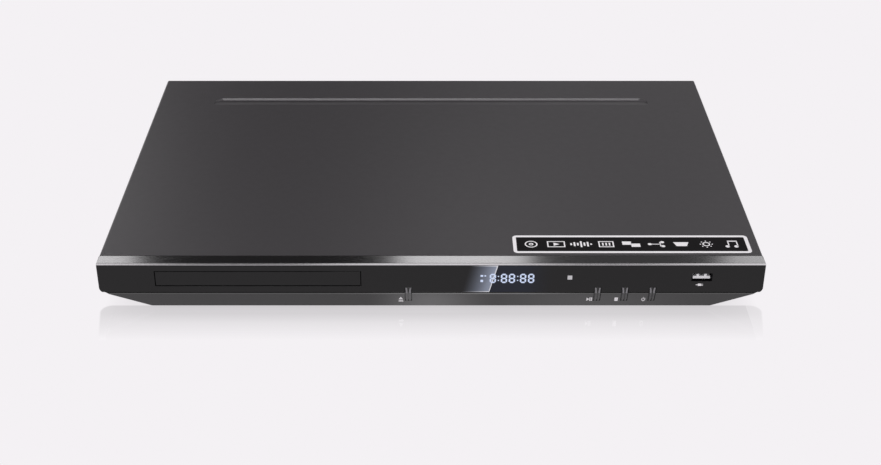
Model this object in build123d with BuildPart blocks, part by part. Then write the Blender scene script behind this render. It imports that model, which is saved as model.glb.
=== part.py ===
"""A full-width disc player: a painted steel case with a glossy front, a sliding disc tray and its works."""

import os
from math import acos, cos, pi, radians, sin, tan

from build123d import *

# Overall case, in millimetres. The front faces -Y and the origin is under the middle, on the floor
FRONT_WIDTH = 430.0
BODY_DEPTH = 288.0
BODY_HEIGHT = 35.6
FOOT_HEIGHT = 3.0
JACK_REACH = 9.0
CORNER_CUT = 32.0
SHOULDER_HEIGHT = 14.3
CORNER_RADIUS = 4.0
KEEL_RADIUS = 3.0

# Fits shared by many pieces
SLIP = 0.2
SEAM = 0.4
RUNNING_GAP = 0.3
BEARING_GAP = 0.05
OVERRUN = 5.0

# Top cover
COVER_SHEET = 0.8
COVER_INSET = 0.3
COVER_BEND = 1.3
LIP_HEIGHT = 10.0
BEAD_FROM_SIDE = 44.0
BEAD_WIDTH = 12.0
BEAD_DEPTH = 1.2
BEAD_WALL = 1.6
BEAD_CORNER = 5.0
BEAD_END = 3.0
BEAD_FROM_BACK = 47.0
SIDE_SCREW_HEIGHT = 21.0
SIDE_SCREW_FRONT = 48.0
SIDE_SCREW_BACK = 40.0
REAR_SCREW_INSET = 35.0

# Base pan and feet
PAN_SHEET = 0.8
PAN_FLANGE = 10.0
FOOT_RADIUS = 9.0
FOOT_EDGE = 0.8
FOOT_FROM_EDGE = 33.0
FOOT_FROM_FRONT = 34.0
FOOT_FROM_BACK = 34.0
FOOT_STEM_RADIUS = 3.0
FOOT_STEM_REACH = 2.0
VENT_LENGTH = 30.0
VENT_WIDTH = 2.4
VENT_PITCH = 6.0
VENT_COUNT = 9

# Screws that hold the cover
SCREW_HEAD_RADIUS = 2.9
SCREW_RADIUS = 1.4
SCREW_LENGTH = 6.0
SCREW_CROSS = 0.6
SCREW_CROSS_DEPTH = 0.45

# Moulded front panel
FRONT_DEPTH = 9.4
PANEL_WALL = 2.2
BAND_DROP = 0.4
CHIN_HEIGHT = 13.0
CHIN_SETBACK = 5.0
CHIN_LEDGE_DROP = 0.6
CHIN_LIP_HEIGHT = 0.7
CHIN_LIP_DEPTH = 0.43
TONGUE_REACH = 5.0
BOSS_RADIUS = 2.5

# Bright trim strip and the two glossy plates below it
TRIM_PROUD = 0.5
TRIM_HEIGHT = 1.0
TRIM_DEPTH = 1.1
TRIM_CHAMFER = 0.7
FASCIA_SHEET = 2.0
GROOVE = 0.7
FACE_GROOVE = 0.6
SLANT_FROM_RIGHT = 171.8
SLANT_RUN = 5.6
JOINT_GAP = 0.15

# Tray door
DOOR_WIDTH = 132.6
DOOR_HEIGHT = 10.6
DOOR_RISE = 18.5
DOOR_SHEET = 3.0
DOOR_GAP = 0.4
DOOR_EDGE = 0.3

# Front keys
KEY_WIDTH = 4.0
KEY_GAP = 0.3
KEY_TOP = 4.0
KEY_DROP = 7.6
KEY_PROUD = 0.3
KEY_TRAVEL = 0.8
KEY_FIN = 1.0
KEY_FIN_DEPTH = 0.7
KEY_FIN_GAP = 1.0
KEY_FLARE = 0.4
KEY_FLANGE = 1.5
KEY_FLANGE_SHEET = 1.0
EJECT_SHARE = 0.37
STOP_FROM_RIGHT = 89.2
KEY_PITCH = 17.75

# Remote sensor window, front socket and front board
SENSOR_SIZE = 3.0
SENSOR_FROM_RIGHT = 125.4
SENSOR_RISE = 24.6
USB_FROM_RIGHT = 40.3
USB_RISE = 24.8
USB_WIDTH = 12.5
USB_HEIGHT = 5.1
USB_SHELL = 0.3
USB_LENGTH = 14.0
USB_RECESS = 0.8
USB_BLOCK = 3.0
USB_TONGUE_WIDTH = 11.1
USB_TONGUE_SHEET = 1.84
USB_TONGUE_RECESS = 0.8
USB_TONGUE_LIFT = -0.9
USB_SPRING_WIDTH = 1.6
USB_SPRING_HEIGHT = 1.5
USB_SPRING_SPREAD = 5.0
USB_SPRING_LENGTH = 2.0
FRONT_BOARD_GAP = 1.5
FRONT_BOARD_CLEAR = 15.2
FRONT_BOARD_END = 13.3
FRONT_BOARD_RISE = 6.5
FRONT_BOARD_TOP = 0.4
BOARD_SHEET = 1.6
SWITCH_SIZE = 6.0
SWITCH_BODY = 2.4
DISPLAY_FROM_RIGHT = 163.0
DISPLAY_RISE = 24.0
DISPLAY_WIDTH = 40.0
DISPLAY_HEIGHT = 8.6
BOSS_INSET = 7.0
BOSS_FROM_SENSOR = 9.6
BOSS_FROM_SOCKET = 15.7
BOSS_CLEAR = 0.2
BOSS_SCREW_RADIUS = 1.2
BOSS_SCREW_LENGTH = 3.0
BOSS_SCREW_HEAD = 2.2
BOSS_SCREW_HEAD_HEIGHT = 1.2

# Label on the cover
LABEL_WIDTH = 155.0
LABEL_DEPTH = 22.7
LABEL_SHEET = 0.12
LABEL_CORNER = 3.0
LABEL_FROM_FRONT = 12.8
LABEL_FROM_SIDE = 6.0

# Disc tray and its rack
TRAY_WIDTH = 128.4
TRAY_LENGTH = 176.0
TRAY_TRAVEL = 136.0
TRAY_LIFT = 0.6
TRAY_DROP = 0.8
TRAY_PLATE_RISE = 2.9
SKIRT_WIDTH = 3.8
WELL_DIAMETER = 121.5
WELL_DEPTH = 3.9
WELL_MARGIN = 8.0
SMALL_WELL_DIAMETER = 81.5
SMALL_WELL_STEP = 1.2
TRAY_SLOT_WIDTH = 48.0
TRAY_EDGE = 0.8
RACK_MODULE = 1.0
RACK_BASE = 1.2
RACK_LEAD = 8.0
BACKLASH_SHARE = 0.12
PRESSURE_ANGLE = 20.0
ADDENDUM_SHARE = 0.85
DEDENDUM_SHARE = 1.25

# Loader frame
LOADER_MARGIN = 2.8
FRAME_SIDE_GAP = 1.8
FRAME_WALL = 2.5
FRAME_DECK = 1.5
FRAME_DECK_RISE = 6.0
FRAME_FRONT_GAP = 2.0
FRAME_BACK_MARGIN = 9.0
FRAME_TAB_HEIGHT = 1.4
FRAME_TAB_LENGTH = 14.0
FRAME_TAB_INSET = 3.0
RAIL_WIDTH = 4.5
RAIL_SHEET = 1.5
OPENING_WIDTH = 94.0
OPENING_FROM_FRONT = 34.5
OPENING_BACK_MARGIN = 7.0
FRAME_POST_RADIUS = 4.0
FRAME_POST_INSET = 8.5

# Loading gears, belt and motor
GEAR_FROM_FRONT = 28.5
PINION_TEETH = 18
WHEEL_TEETH = 34
WHEEL_MODULE = 0.6
PULLEY_TEETH = 12
PINION_FACE = 2.2
WHEEL_FACE = 3.0
WHEEL_RISE = 6.5
GEAR_HUB_RADIUS = 5.0
GEAR_POST_RADIUS = 2.0
GEAR_COLLAR_RADIUS = 4.0
PULLEY_POST_RADIUS = 1.5
PULLEY_COLLAR_RADIUS = 3.0
PULLEY_RISE = 1.5
PULLEY_FACE = 3.0
PULLEY_RADIUS = 9.0
PULLEY_GROOVE = 0.8
PULLEY_FLANGE = 0.7
BELT_THICKNESS = 0.8
BELT_HEIGHT = 1.2
BELT_REACH = 26.0
MOTOR_PULLEY_RADIUS = 3.2
MOTOR_SHAFT_RADIUS = 0.8
MOTOR_RADIUS = 10.0
MOTOR_HEIGHT = 6.2
MOTOR_FLANGE = 2.0
MOTOR_FLANGE_SHEET = 0.6

# Swinging traverse with spindle, pickup and cam
TRAVERSE_WIDTH = 88.0
TRAVERSE_SHEET = 1.2
TRAVERSE_RISE = 15.0
TRAVERSE_FROM_OPENING = 6.0
TRAVERSE_BACK_MARGIN = 10.0
TRAVERSE_FLANGE = 4.0
TRAVERSE_TILT = 3.4
PIVOT_FROM_BACK = 16.0
PIVOT_RADIUS = 2.0
PIVOT_REACH = 5.0
CAM_PIN_RADIUS = 1.5
CAM_TRAVEL = 18.0
CAM_SHEET = 2.0
CAM_BORDER = 3.0
CAM_PIN_OFFSET = 9.0
DISC_LIFT = 1.6
SPINDLE_RADIUS = 11.0
SPINDLE_BODY = 5.5
SPINDLE_COLLAR_RADIUS = 6.0
SPINDLE_SHAFT_RADIUS = 1.0
ROTOR_RADIUS = 12.5
TURNTABLE_RADIUS = 15.0
TURNTABLE_SHEET = 3.2
HUB_RADIUS = 7.3
HUB_TOP_RADIUS = 6.0
HUB_HEIGHT = 2.0
PICKUP_WIDTH = 38.0
PICKUP_LENGTH = 26.0
PICKUP_RISE = 13.6
PICKUP_HEIGHT = 7.4
PICKUP_OFFSET = 16.0
PICKUP_TRAVEL = 34.0
PICKUP_LENS_RADIUS = 3.5
PICKUP_LENS_HEIGHT = 2.2
PICKUP_LENS_SETBACK = 9.0
PICKUP_WINDOW_WIDTH = 60.0
PICKUP_WINDOW_MARGIN = 2.0
ROD_RADIUS = 1.5
ROD_SPACING = 52.0
ROD_LIFT = 2.0
ROD_HOLDER = 6.0
ROD_HOLDER_SHEET = 3.0
BUSH_WALL = 1.5
BUSH_LENGTH = 14.0
SCREW_LEAD_X = 36.0
LEAD_SCREW_RADIUS = 1.5
SLED_MOTOR_RADIUS = 3.3
SLED_MOTOR_LENGTH = 12.0
SLED_BRACKET = 1.2

# Disc clamp
BRIDGE_SHEET = 1.2
BRIDGE_DEPTH = 34.0
BRIDGE_HOLE_RADIUS = 10.0
PUCK_RADIUS = 15.0
PUCK_NECK_RADIUS = 9.0
PUCK_FLANGE_RADIUS = 12.0
PUCK_FLANGE_SHEET = 1.2
PUCK_RECESS_RADIUS = 8.4
DISC_THICKNESS = 1.2

# Main board, power board and what stands on them
BOARD_RISE = 7.0
BOARD_GAP = 8.0
LOADER_GAP = 0.5
MAIN_BOARD_WIDTH = 136.0
POWER_OVERHANG = 3.0
POWER_BOARD_WIDTH = 74.0
POWER_BOARD_DEPTH = 120.0
BOARD_BACK_GAP = 1.0
STANDOFF_RADIUS = 2.5
STANDOFF_INSET = 6.0
BOARD_SCREW_HEAD = 2.8
BOARD_SCREW_HEIGHT = 1.6
HEATSINK_SIZE = 34.0
HEATSINK_BASE = 2.0
HEATSINK_HEIGHT = 10.0
HEATSINK_FINS = 8
HEATSINK_FIN_SHEET = 1.4
CHIP_SIZE = 14.0
CHIP_SHEET = 1.2
SOC_SIZE = 26.0
SOC_SHEET = 2.0
CAPACITOR_RADIUS = 3.0
CAPACITOR_HEIGHT = 9.0
CAPACITOR_PITCH = 9.0
CAPACITOR_INSET = 17.0
MAINS_CAPACITOR_RADIUS = 7.0
MAINS_CAPACITOR_HEIGHT = 20.0
TRANSFORMER_WIDTH = 26.0
TRANSFORMER_DEPTH = 22.0
TRANSFORMER_HEIGHT = 18.0
COIL_MARGIN = 3.0
COIL_RISE = 4.0
RIBBON_WIDTH = 12.0
RIBBON_SHEET = 0.4
RIBBON_BEND = 4.0
RIBBON_INSET = 20.0
RIBBON_RISE = 2.0
SOCKET_HEIGHT = 5.0
SOCKET_DEPTH = 4.5
SOCKET_WIDTH = 15.0

# Rear panel and sockets
REAR_SHEET = 1.0
REAR_TOP_GAP = 1.6
REAR_VENT_HEIGHT = 14.0
REAR_VENT_RISE = 17.0
PORT_GAP = 0.25
PORT_PROUD = 0.6
HDMI_INSET = 16.0
HDMI_WIDTH = 15.0
HDMI_HEIGHT = 5.6
HDMI_SHELL = 0.5
PORT_DEPTH = 12.0
LAN_INSET = 44.0
LAN_WIDTH = 16.0
LAN_HEIGHT = 13.5
LAN_MOUTH_WIDTH = 11.8
LAN_MOUTH_HEIGHT = 8.0
LAN_MOUTH_RISE = 2.0
OPTICAL_INSET = 68.0
OPTICAL_SIZE = 10.0
OPTICAL_MOUTH = 6.4
COAX_INSET = 90.0
AUDIO_INSET = 116.0
AUDIO_PITCH = 14.0
JACK_RADIUS = 4.15
JACK_WALL = 0.5
JACK_PIN_RADIUS = 1.6
JACK_INSULATOR_RADIUS = 3.0
JACK_BLOCK = 11.0
JACK_BLOCK_DEPTH = 9.0
INLET_WIDTH = 24.0
INLET_HEIGHT = 15.0
INLET_DEPTH = 16.0
INLET_MOUTH_WIDTH = 17.0
INLET_MOUTH_HEIGHT = 9.0
INLET_MOUTH_DEPTH = 12.0
INLET_PIN_RADIUS = 1.2
INLET_PIN_SPACING = 8.6
INLET_PIN_LENGTH = 9.0

# Levels and planes worked out from the sizes above
flat_width = FRONT_WIDTH - 2 * CORNER_CUT
front_y = -(BODY_DEPTH + JACK_REACH) / 2
back_y = front_y + BODY_DEPTH
base_z = FOOT_HEIGHT
top_z = base_z + BODY_HEIGHT
shoulder_z = base_z + SHOULDER_HEIGHT
fold_z = base_z + CHIN_HEIGHT
floor_z = base_z + PAN_SHEET
band_z = top_z - BAND_DROP
trim_z = band_z - TRIM_HEIGHT
trim_back_y = front_y + TRIM_DEPTH
face_y = front_y + TRIM_PROUD
seat_y = face_y + FASCIA_SHEET
cavity_y = seat_y + PANEL_WALL
panel_back_y = front_y + FRONT_DEPTH
cover_front_y = panel_back_y + SEAM
cover_half = FRONT_WIDTH / 2 - COVER_INSET
cover_low_z = shoulder_z + RUNNING_GAP
pan_half = cover_half - COVER_SHEET - SLIP
rear_face_y = back_y - COVER_SHEET - SLIP
rear_inner_y = rear_face_y - REAR_SHEET
slope_share = SHOULDER_HEIGHT / (FRONT_WIDTH / 2 - flat_width / 2)
pan_slope_z = base_z + (pan_half - flat_width / 2) * slope_share
flange_z = pan_slope_z + PAN_FLANGE

# Levels and places inside the loader
frame_inner = TRAY_WIDTH / 2 + FRAME_SIDE_GAP
frame_outer = frame_inner + FRAME_WALL
door_x = -flat_width / 2 + LOADER_MARGIN + frame_outer
door_low_z = base_z + DOOR_RISE
door_high_z = door_low_z + DOOR_HEIGHT
door_back_y = face_y + DOOR_SHEET
tray_front_y = door_back_y
tray_back_y = tray_front_y + TRAY_LENGTH
tray_low_z = door_low_z + TRAY_LIFT
tray_top_z = door_high_z - TRAY_DROP
tray_plate_z = tray_low_z + TRAY_PLATE_RISE
well_y = tray_front_y + WELL_MARGIN + WELL_DIAMETER / 2
well_floor_z = tray_top_z - WELL_DEPTH
small_floor_z = well_floor_z - SMALL_WELL_STEP
frame_front_y = panel_back_y + FRAME_FRONT_GAP
frame_back_y = tray_back_y + FRAME_BACK_MARGIN
deck_z = base_z + FRAME_DECK_RISE
deck_top_z = deck_z + FRAME_DECK
rail_top_z = tray_low_z - RUNNING_GAP
frame_top_z = tray_top_z + RUNNING_GAP + FRAME_TAB_HEIGHT
bridge_top_z = frame_top_z + BRIDGE_SHEET
opening_front_y = frame_front_y + OPENING_FROM_FRONT
tab_ys = (frame_front_y + FRAME_TAB_INSET, frame_back_y - FRAME_TAB_INSET - 2 * FRAME_TAB_LENGTH)
post_reach = frame_outer - FRAME_POST_INSET
post_ys = (frame_front_y + FRAME_POST_INSET, frame_back_y - FRAME_POST_INSET)
loader_posts = [(door_x + side * post_reach, y) for side in (-1, 1) for y in post_ys]
pinion_r = RACK_MODULE * PINION_TEETH / 2
rack_root_reach = TRAY_WIDTH / 2 - SKIRT_WIDTH - RACK_BASE
rack_pitch_x = door_x - rack_root_reach + DEDENDUM_SHARE * RACK_MODULE
gear_x = rack_pitch_x + pinion_r
gear_y = front_y + GEAR_FROM_FRONT
pulley_x = gear_x + WHEEL_MODULE * (WHEEL_TEETH + PULLEY_TEETH) / 2
motor_x = pulley_x + BELT_REACH
wheel_low_z = deck_top_z + WHEEL_RISE
wheel_high_z = wheel_low_z + WHEEL_FACE
pinion_low_z = tray_low_z + RUNNING_GAP
pinion_high_z = pinion_low_z + PINION_FACE
pulley_low_z = deck_top_z + PULLEY_RISE
motor_low_z = deck_top_z - MOTOR_HEIGHT
traverse_z = base_z + TRAVERSE_RISE
traverse_top_z = traverse_z + TRAVERSE_SHEET
traverse_front_y = opening_front_y + TRAVERSE_FROM_OPENING
traverse_back_y = frame_back_y - TRAVERSE_BACK_MARGIN
pivot_y = frame_back_y - PIVOT_FROM_BACK
pivot_z = traverse_z + TRAVERSE_SHEET / 2
pivot_pin_length = (OPENING_WIDTH - TRAVERSE_WIDTH) / 2 + PIVOT_REACH - RUNNING_GAP
disc_seat_z = well_floor_z + DISC_LIFT
turntable_low_z = disc_seat_z - TURNTABLE_SHEET
pickup_front_y = well_y + PICKUP_OFFSET
pickup_low_z = base_z + PICKUP_RISE
pickup_top_z = pickup_low_z + PICKUP_HEIGHT
rod_z = traverse_top_z + ROD_LIFT

# Levels and places of the boards and rear sockets
board_z = base_z + BOARD_RISE
board_top_z = board_z + BOARD_SHEET
board_edge_y = rear_inner_y - BOARD_BACK_GAP
main_front_y = frame_back_y + LOADER_GAP
main_depth = board_edge_y - main_front_y
power_left = flat_width / 2 + POWER_OVERHANG - POWER_BOARD_WIDTH
main_left = power_left - BOARD_GAP - MAIN_BOARD_WIDTH
main_right = main_left + MAIN_BOARD_WIDTH
hdmi_x = main_right - HDMI_INSET
lan_x = main_right - LAN_INSET
optical_x = main_right - OPTICAL_INSET
coax_x = main_right - COAX_INSET
audio_x = main_right - AUDIO_INSET
inlet_x = power_left + POWER_BOARD_WIDTH / 2
ribbon_x = main_right - RIBBON_INSET
power_front_y = board_edge_y - POWER_BOARD_DEPTH
hdmi_z = board_top_z + HDMI_HEIGHT / 2
lan_z = board_top_z + LAN_HEIGHT / 2
optical_z = board_top_z + OPTICAL_SIZE / 2
inlet_z = board_top_z + INLET_HEIGHT / 2
jack_z = board_top_z + JACK_BLOCK / 2
jack_xs = (coax_x, audio_x, audio_x - AUDIO_PITCH)
rear_vent_z = base_z + REAR_VENT_RISE


def board_corners(left, front, width, depth):
    """The standoff places inside a board's four corners."""
    xs = (left + STANDOFF_INSET, left + width - STANDOFF_INSET)
    ys = (front + STANDOFF_INSET, front + depth - PORT_DEPTH - STANDOFF_INSET)
    return [(x, y) for x in xs for y in ys]


main_standoffs = board_corners(main_left, main_front_y, MAIN_BOARD_WIDTH, main_depth)
power_standoffs = board_corners(power_left, power_front_y, POWER_BOARD_WIDTH, POWER_BOARD_DEPTH)


def upright(y):
    """The plane across the case at depth y, seen from the front. Extruding by a minus amount goes back."""
    return Plane.XZ.offset(-y)


def block(low, high, mode=Mode.ADD):
    """Adds a box between two opposite corners to the part being built."""
    low, high = Vector(*low), Vector(*high)
    size = high - low
    with Locations((low + high) * 0.5):
        Box(abs(size.X), abs(size.Y), abs(size.Z), mode=mode)


def post(x, y, low, high, radius, mode=Mode.ADD):
    """Adds an upright cylinder between two levels to the part being built."""
    with Locations((x, y, (low + high) / 2)):
        Cylinder(radius, high - low, mode=mode)


def outline(low_z, high_z):
    """The front view of the case between two levels, with its cut-in lower corners."""
    with BuildSketch(Plane.XZ) as view:
        with BuildLine():
            Polyline(
                (-FRONT_WIDTH / 2, top_z + OVERRUN),
                (-FRONT_WIDTH / 2, shoulder_z),
                (-flat_width / 2, base_z),
                (flat_width / 2, base_z),
                (FRONT_WIDTH / 2, shoulder_z),
                (FRONT_WIDTH / 2, top_z + OVERRUN),
                close=True,
            )
        make_face()
        shoulders = view.vertices().group_by(Axis.Y)[1]
        fillet(shoulders, radius=CORNER_RADIUS)
        keel = view.vertices().group_by(Axis.Y)[0]
        fillet(keel, radius=KEEL_RADIUS)
        with Locations((0, (low_z + high_z) / 2)):
            Rectangle(FRONT_WIDTH + OVERRUN, high_z - low_z, mode=Mode.INTERSECT)
    return view.sketch


# Cover screws, countersunk: two on each side and three along the rear lip
side_screw_z = base_z + SIDE_SCREW_HEIGHT
side_screw_ys = (front_y + SIDE_SCREW_FRONT, back_y - SIDE_SCREW_BACK)
rear_screw_z = top_z - LIP_HEIGHT / 2
rear_screw_x = FRONT_WIDTH / 2 - REAR_SCREW_INSET
side_screw_planes = [
    Plane(origin=(side * cover_half, y, side_screw_z), z_dir=(side, 0, 0))
    for side in (-1, 1)
    for y in side_screw_ys
]
rear_screw_planes = [
    Plane(origin=(column * rear_screw_x, back_y, rear_screw_z), z_dir=(0, 1, 0))
    for column in (-1, 0, 1)
]
screw_planes = side_screw_planes + rear_screw_planes
screw_hole_radius = SCREW_RADIUS + SLIP

with BuildPart() as cover_screws:
    with Locations(*screw_planes):
        Cone(
            SCREW_RADIUS,
            SCREW_HEAD_RADIUS,
            COVER_SHEET,
            align=(Align.CENTER, Align.CENTER, Align.MAX),
        )
        Cylinder(
            SCREW_RADIUS,
            SCREW_LENGTH,
            align=(Align.CENTER, Align.CENTER, Align.MAX),
        )
    with Locations(*screw_planes):
        for turn in (0, 90):
            Box(
                SCREW_HEAD_RADIUS,
                SCREW_CROSS,
                SCREW_CROSS_DEPTH,
                rotation=(0, 0, turn),
                align=(Align.CENTER, Align.CENTER, Align.MAX),
                mode=Mode.SUBTRACT,
            )


def screw_seats():
    """Cuts the countersunk cover-screw holes, with slip, into the part being built."""
    with Locations(*screw_planes):
        Cone(
            SCREW_RADIUS + SLIP,
            SCREW_HEAD_RADIUS + SLIP,
            COVER_SHEET,
            align=(Align.CENTER, Align.CENTER, Align.MAX),
            mode=Mode.SUBTRACT,
        )
        Cylinder(
            screw_hole_radius,
            SCREW_LENGTH + SLIP,
            align=(Align.CENTER, Align.CENTER, Align.MAX),
            mode=Mode.SUBTRACT,
        )


# Top cover: one bent sheet with two sides, a rear lip and a long pressed bead near the back
bead_far_y = back_y - BEAD_FROM_BACK + BEAD_WIDTH
bead_near_y = back_y - BEAD_FROM_BACK
bead_length = FRONT_WIDTH - 2 * BEAD_FROM_SIDE


def bead_plan(level, end_x, grow):
    """Plan of the bead at a level, out to its ends, with its far corners cut off."""
    with BuildSketch(Plane.XY.offset(level)) as plan:
        with BuildLine():
            Polyline(
                (-end_x, bead_near_y - grow),
                (-end_x, bead_far_y - BEAD_CORNER),
                (-end_x + BEAD_CORNER, bead_far_y + grow),
                (end_x - BEAD_CORNER, bead_far_y + grow),
                (end_x, bead_far_y - BEAD_CORNER),
                (end_x, bead_near_y - grow),
                close=True,
            )
        make_face()
    return plan.sketch


def bead(drop, grow):
    """The pressed bead's wedge: shallow in front, steep at the back and sloping at its ends."""
    end_x = bead_length / 2 + grow
    with BuildPart() as wedge:
        with BuildSketch(Plane.YZ):
            with BuildLine():
                Polyline(
                    (bead_near_y - grow, top_z - drop),
                    (bead_far_y - BEAD_WALL, top_z - drop - BEAD_DEPTH),
                    (bead_far_y + grow, top_z - drop),
                    close=True,
                )
            make_face()
        extrude(amount=end_x, both=True)
        top_plan = bead_plan(top_z - drop, end_x, grow)
        low_plan = bead_plan(top_z - drop - BEAD_DEPTH, end_x - BEAD_END, grow)
        loft([top_plan, low_plan], ruled=True, mode=Mode.INTERSECT)
    return wedge.part


def cover_block(inset, front, low):
    """A block as wide as the cover less an inset, with its upper and rear edges rounded."""
    with BuildPart() as body:
        block(
            (-cover_half + inset, front, low),
            (cover_half - inset, back_y - inset, top_z - inset),
        )
        upper = body.edges().group_by(Axis.Z)[-1].sort_by(Axis.Y)[1:]
        corners = body.edges().filter_by(Axis.Z).sort_by(Axis.Y)[-2:]
        fillet(upper + corners, radius=COVER_BEND - inset)
    return body.part


with BuildPart() as top_cover:
    add(cover_block(0, cover_front_y, cover_low_z))
    add(cover_block(COVER_SHEET, cover_front_y - OVERRUN, cover_low_z - OVERRUN), mode=Mode.SUBTRACT)
    block(
        (-cover_half, back_y - COVER_BEND, cover_low_z - OVERRUN),
        (cover_half, back_y + OVERRUN, top_z - LIP_HEIGHT),
        mode=Mode.SUBTRACT,
    )
    add(bead(COVER_SHEET, COVER_SHEET))
    add(bead(0, 0), mode=Mode.SUBTRACT)
    screw_seats()

# Base pan: a shallow folded tray whose sides slope up to a flange behind the cover
foot_ys = (front_y + FOOT_FROM_FRONT, back_y - FOOT_FROM_BACK)
foot_places = [(side * (flat_width / 2 - FOOT_FROM_EDGE), y) for side in (-1, 1) for y in foot_ys]
vent_x = power_left + POWER_BOARD_WIDTH / 2
vent_y = power_front_y + POWER_BOARD_DEPTH / 3


def pan_outline(inset):
    """The pan's cross-section as a closed face, shrunk by an inset and open far above."""
    with BuildSketch(Plane.XZ) as section:
        with BuildLine():
            Polyline(
                (-pan_half, top_z + OVERRUN),
                (-pan_half, pan_slope_z),
                (-flat_width / 2, base_z),
                (flat_width / 2, base_z),
                (pan_half, pan_slope_z),
                (pan_half, top_z + OVERRUN),
                close=True,
            )
        make_face()
        if inset:
            offset(amount=-inset, kind=Kind.INTERSECTION, mode=Mode.REPLACE)
    return section.sketch


with BuildPart() as base_pan:
    with BuildSketch(upright(cover_front_y)):
        add(pan_outline(0))
        add(pan_outline(PAN_SHEET), mode=Mode.SUBTRACT)
        with Locations((0, flange_z)):
            Rectangle(
                2 * FRONT_WIDTH,
                2 * FRONT_WIDTH,
                align=(Align.CENTER, Align.MIN),
                mode=Mode.SUBTRACT,
            )
    extrude(amount=-(rear_face_y - cover_front_y))
    for x, y in foot_places:
        post(x, y, base_z - OVERRUN, floor_z + OVERRUN, FOOT_STEM_RADIUS + BEARING_GAP, Mode.SUBTRACT)
    with Locations((vent_x, vent_y, base_z)):
        with GridLocations(0, VENT_PITCH, 1, VENT_COUNT):
            Box(VENT_LENGTH, VENT_WIDTH, OVERRUN, mode=Mode.SUBTRACT)
    for x, y in loader_posts + main_standoffs + power_standoffs:
        post(x, y, base_z - OVERRUN, floor_z + OVERRUN, SCREW_RADIUS + BEARING_GAP, Mode.SUBTRACT)
    screw_seats()

with BuildPart() as rubber_feet:
    for x, y in foot_places:
        post(x, y, 0, base_z, FOOT_RADIUS)
    treads = rubber_feet.edges().group_by(Axis.Z)[0]
    chamfer(treads, length=FOOT_EDGE)
    for x, y in foot_places:
        post(x, y, base_z, floor_z + FOOT_STEM_REACH, FOOT_STEM_RADIUS)

# Label on the cover, near the front right corner
label_x = cover_half - LABEL_FROM_SIDE - LABEL_WIDTH / 2
label_y = front_y + LABEL_FROM_FRONT + LABEL_DEPTH / 2
with BuildPart() as top_label:
    with BuildSketch(Plane.XY.offset(top_z)):
        with Locations((label_x, label_y)):
            RectangleRounded(LABEL_WIDTH, LABEL_DEPTH, LABEL_CORNER)
    extrude(amount=LABEL_SHEET)

# Places of the openings in the front
door_right_x = door_x + DOOR_WIDTH / 2
usb_x = FRONT_WIDTH / 2 - USB_FROM_RIGHT
sensor_x = FRONT_WIDTH / 2 - SENSOR_FROM_RIGHT
stop_key_x = FRONT_WIDTH / 2 - STOP_FROM_RIGHT
slant_top_x = FRONT_WIDTH / 2 - SLANT_FROM_RIGHT
slant_bottom_x = slant_top_x - SLANT_RUN
display_x = FRONT_WIDTH / 2 - DISPLAY_FROM_RIGHT
display_z = base_z + DISPLAY_RISE
eject_key_x = door_right_x + EJECT_SHARE * (slant_bottom_x - door_right_x)
front_board_left = door_x + frame_outer + FRONT_BOARD_CLEAR
front_board_right = usb_x + FRONT_BOARD_END
boss_left_x = front_board_left + BOSS_INSET
boss_middle_x = sensor_x - BOSS_FROM_SENSOR
boss_right_x = usb_x - BOSS_FROM_SOCKET
key_top_z = fold_z + KEY_TOP
key_low_z = fold_z - KEY_DROP
sensor_z = base_z + SENSOR_RISE
usb_z = base_z + USB_RISE
key_xs = {
    "eject_key": eject_key_x,
    "play_key": stop_key_x - KEY_PITCH,
    "stop_key": stop_key_x,
    "power_key": stop_key_x + KEY_PITCH,
}
usb_outer_width = USB_WIDTH + 2 * USB_SHELL
usb_outer_height = USB_HEIGHT + 2 * USB_SHELL
board_front_y = panel_back_y + FRONT_BOARD_GAP
boss_z = display_z + DISPLAY_HEIGHT / 2 + BOSS_CLEAR + BOSS_RADIUS
boss_places = [(boss_left_x, boss_z), (boss_middle_x, boss_z), (boss_right_x, boss_z)]


def front_openings():
    """Cuts the door, key, sensor and socket openings straight through the front of the part being built."""
    with BuildSketch(upright(front_y - OVERRUN)) as mouths:
        with Locations((door_x, (door_low_z + door_high_z) / 2)):
            Rectangle(DOOR_WIDTH + 2 * DOOR_GAP, DOOR_HEIGHT + 2 * DOOR_GAP)
        for key_x in key_xs.values():
            with Locations((key_x, (key_low_z + key_top_z) / 2)):
                Rectangle(KEY_WIDTH + 2 * KEY_GAP, key_top_z - key_low_z + 2 * KEY_GAP)
        with Locations((sensor_x, sensor_z)):
            Rectangle(SENSOR_SIZE + 2 * BEARING_GAP, SENSOR_SIZE + 2 * BEARING_GAP)
        with Locations((usb_x, usb_z)):
            Rectangle(usb_outer_width + 2 * SLIP, usb_outer_height + 2 * SLIP)
    extrude(mouths.sketch, amount=-(OVERRUN + FRONT_DEPTH), mode=Mode.SUBTRACT)


def rounded_front():
    """The whole front view with its upper corners rounded like the cover's bends."""
    with BuildSketch(upright(front_y)) as view:
        add(outline(base_z, top_z))
        fillet(view.vertices().group_by(Axis.Y)[-1], radius=COVER_BEND)
    return view.sketch


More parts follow.
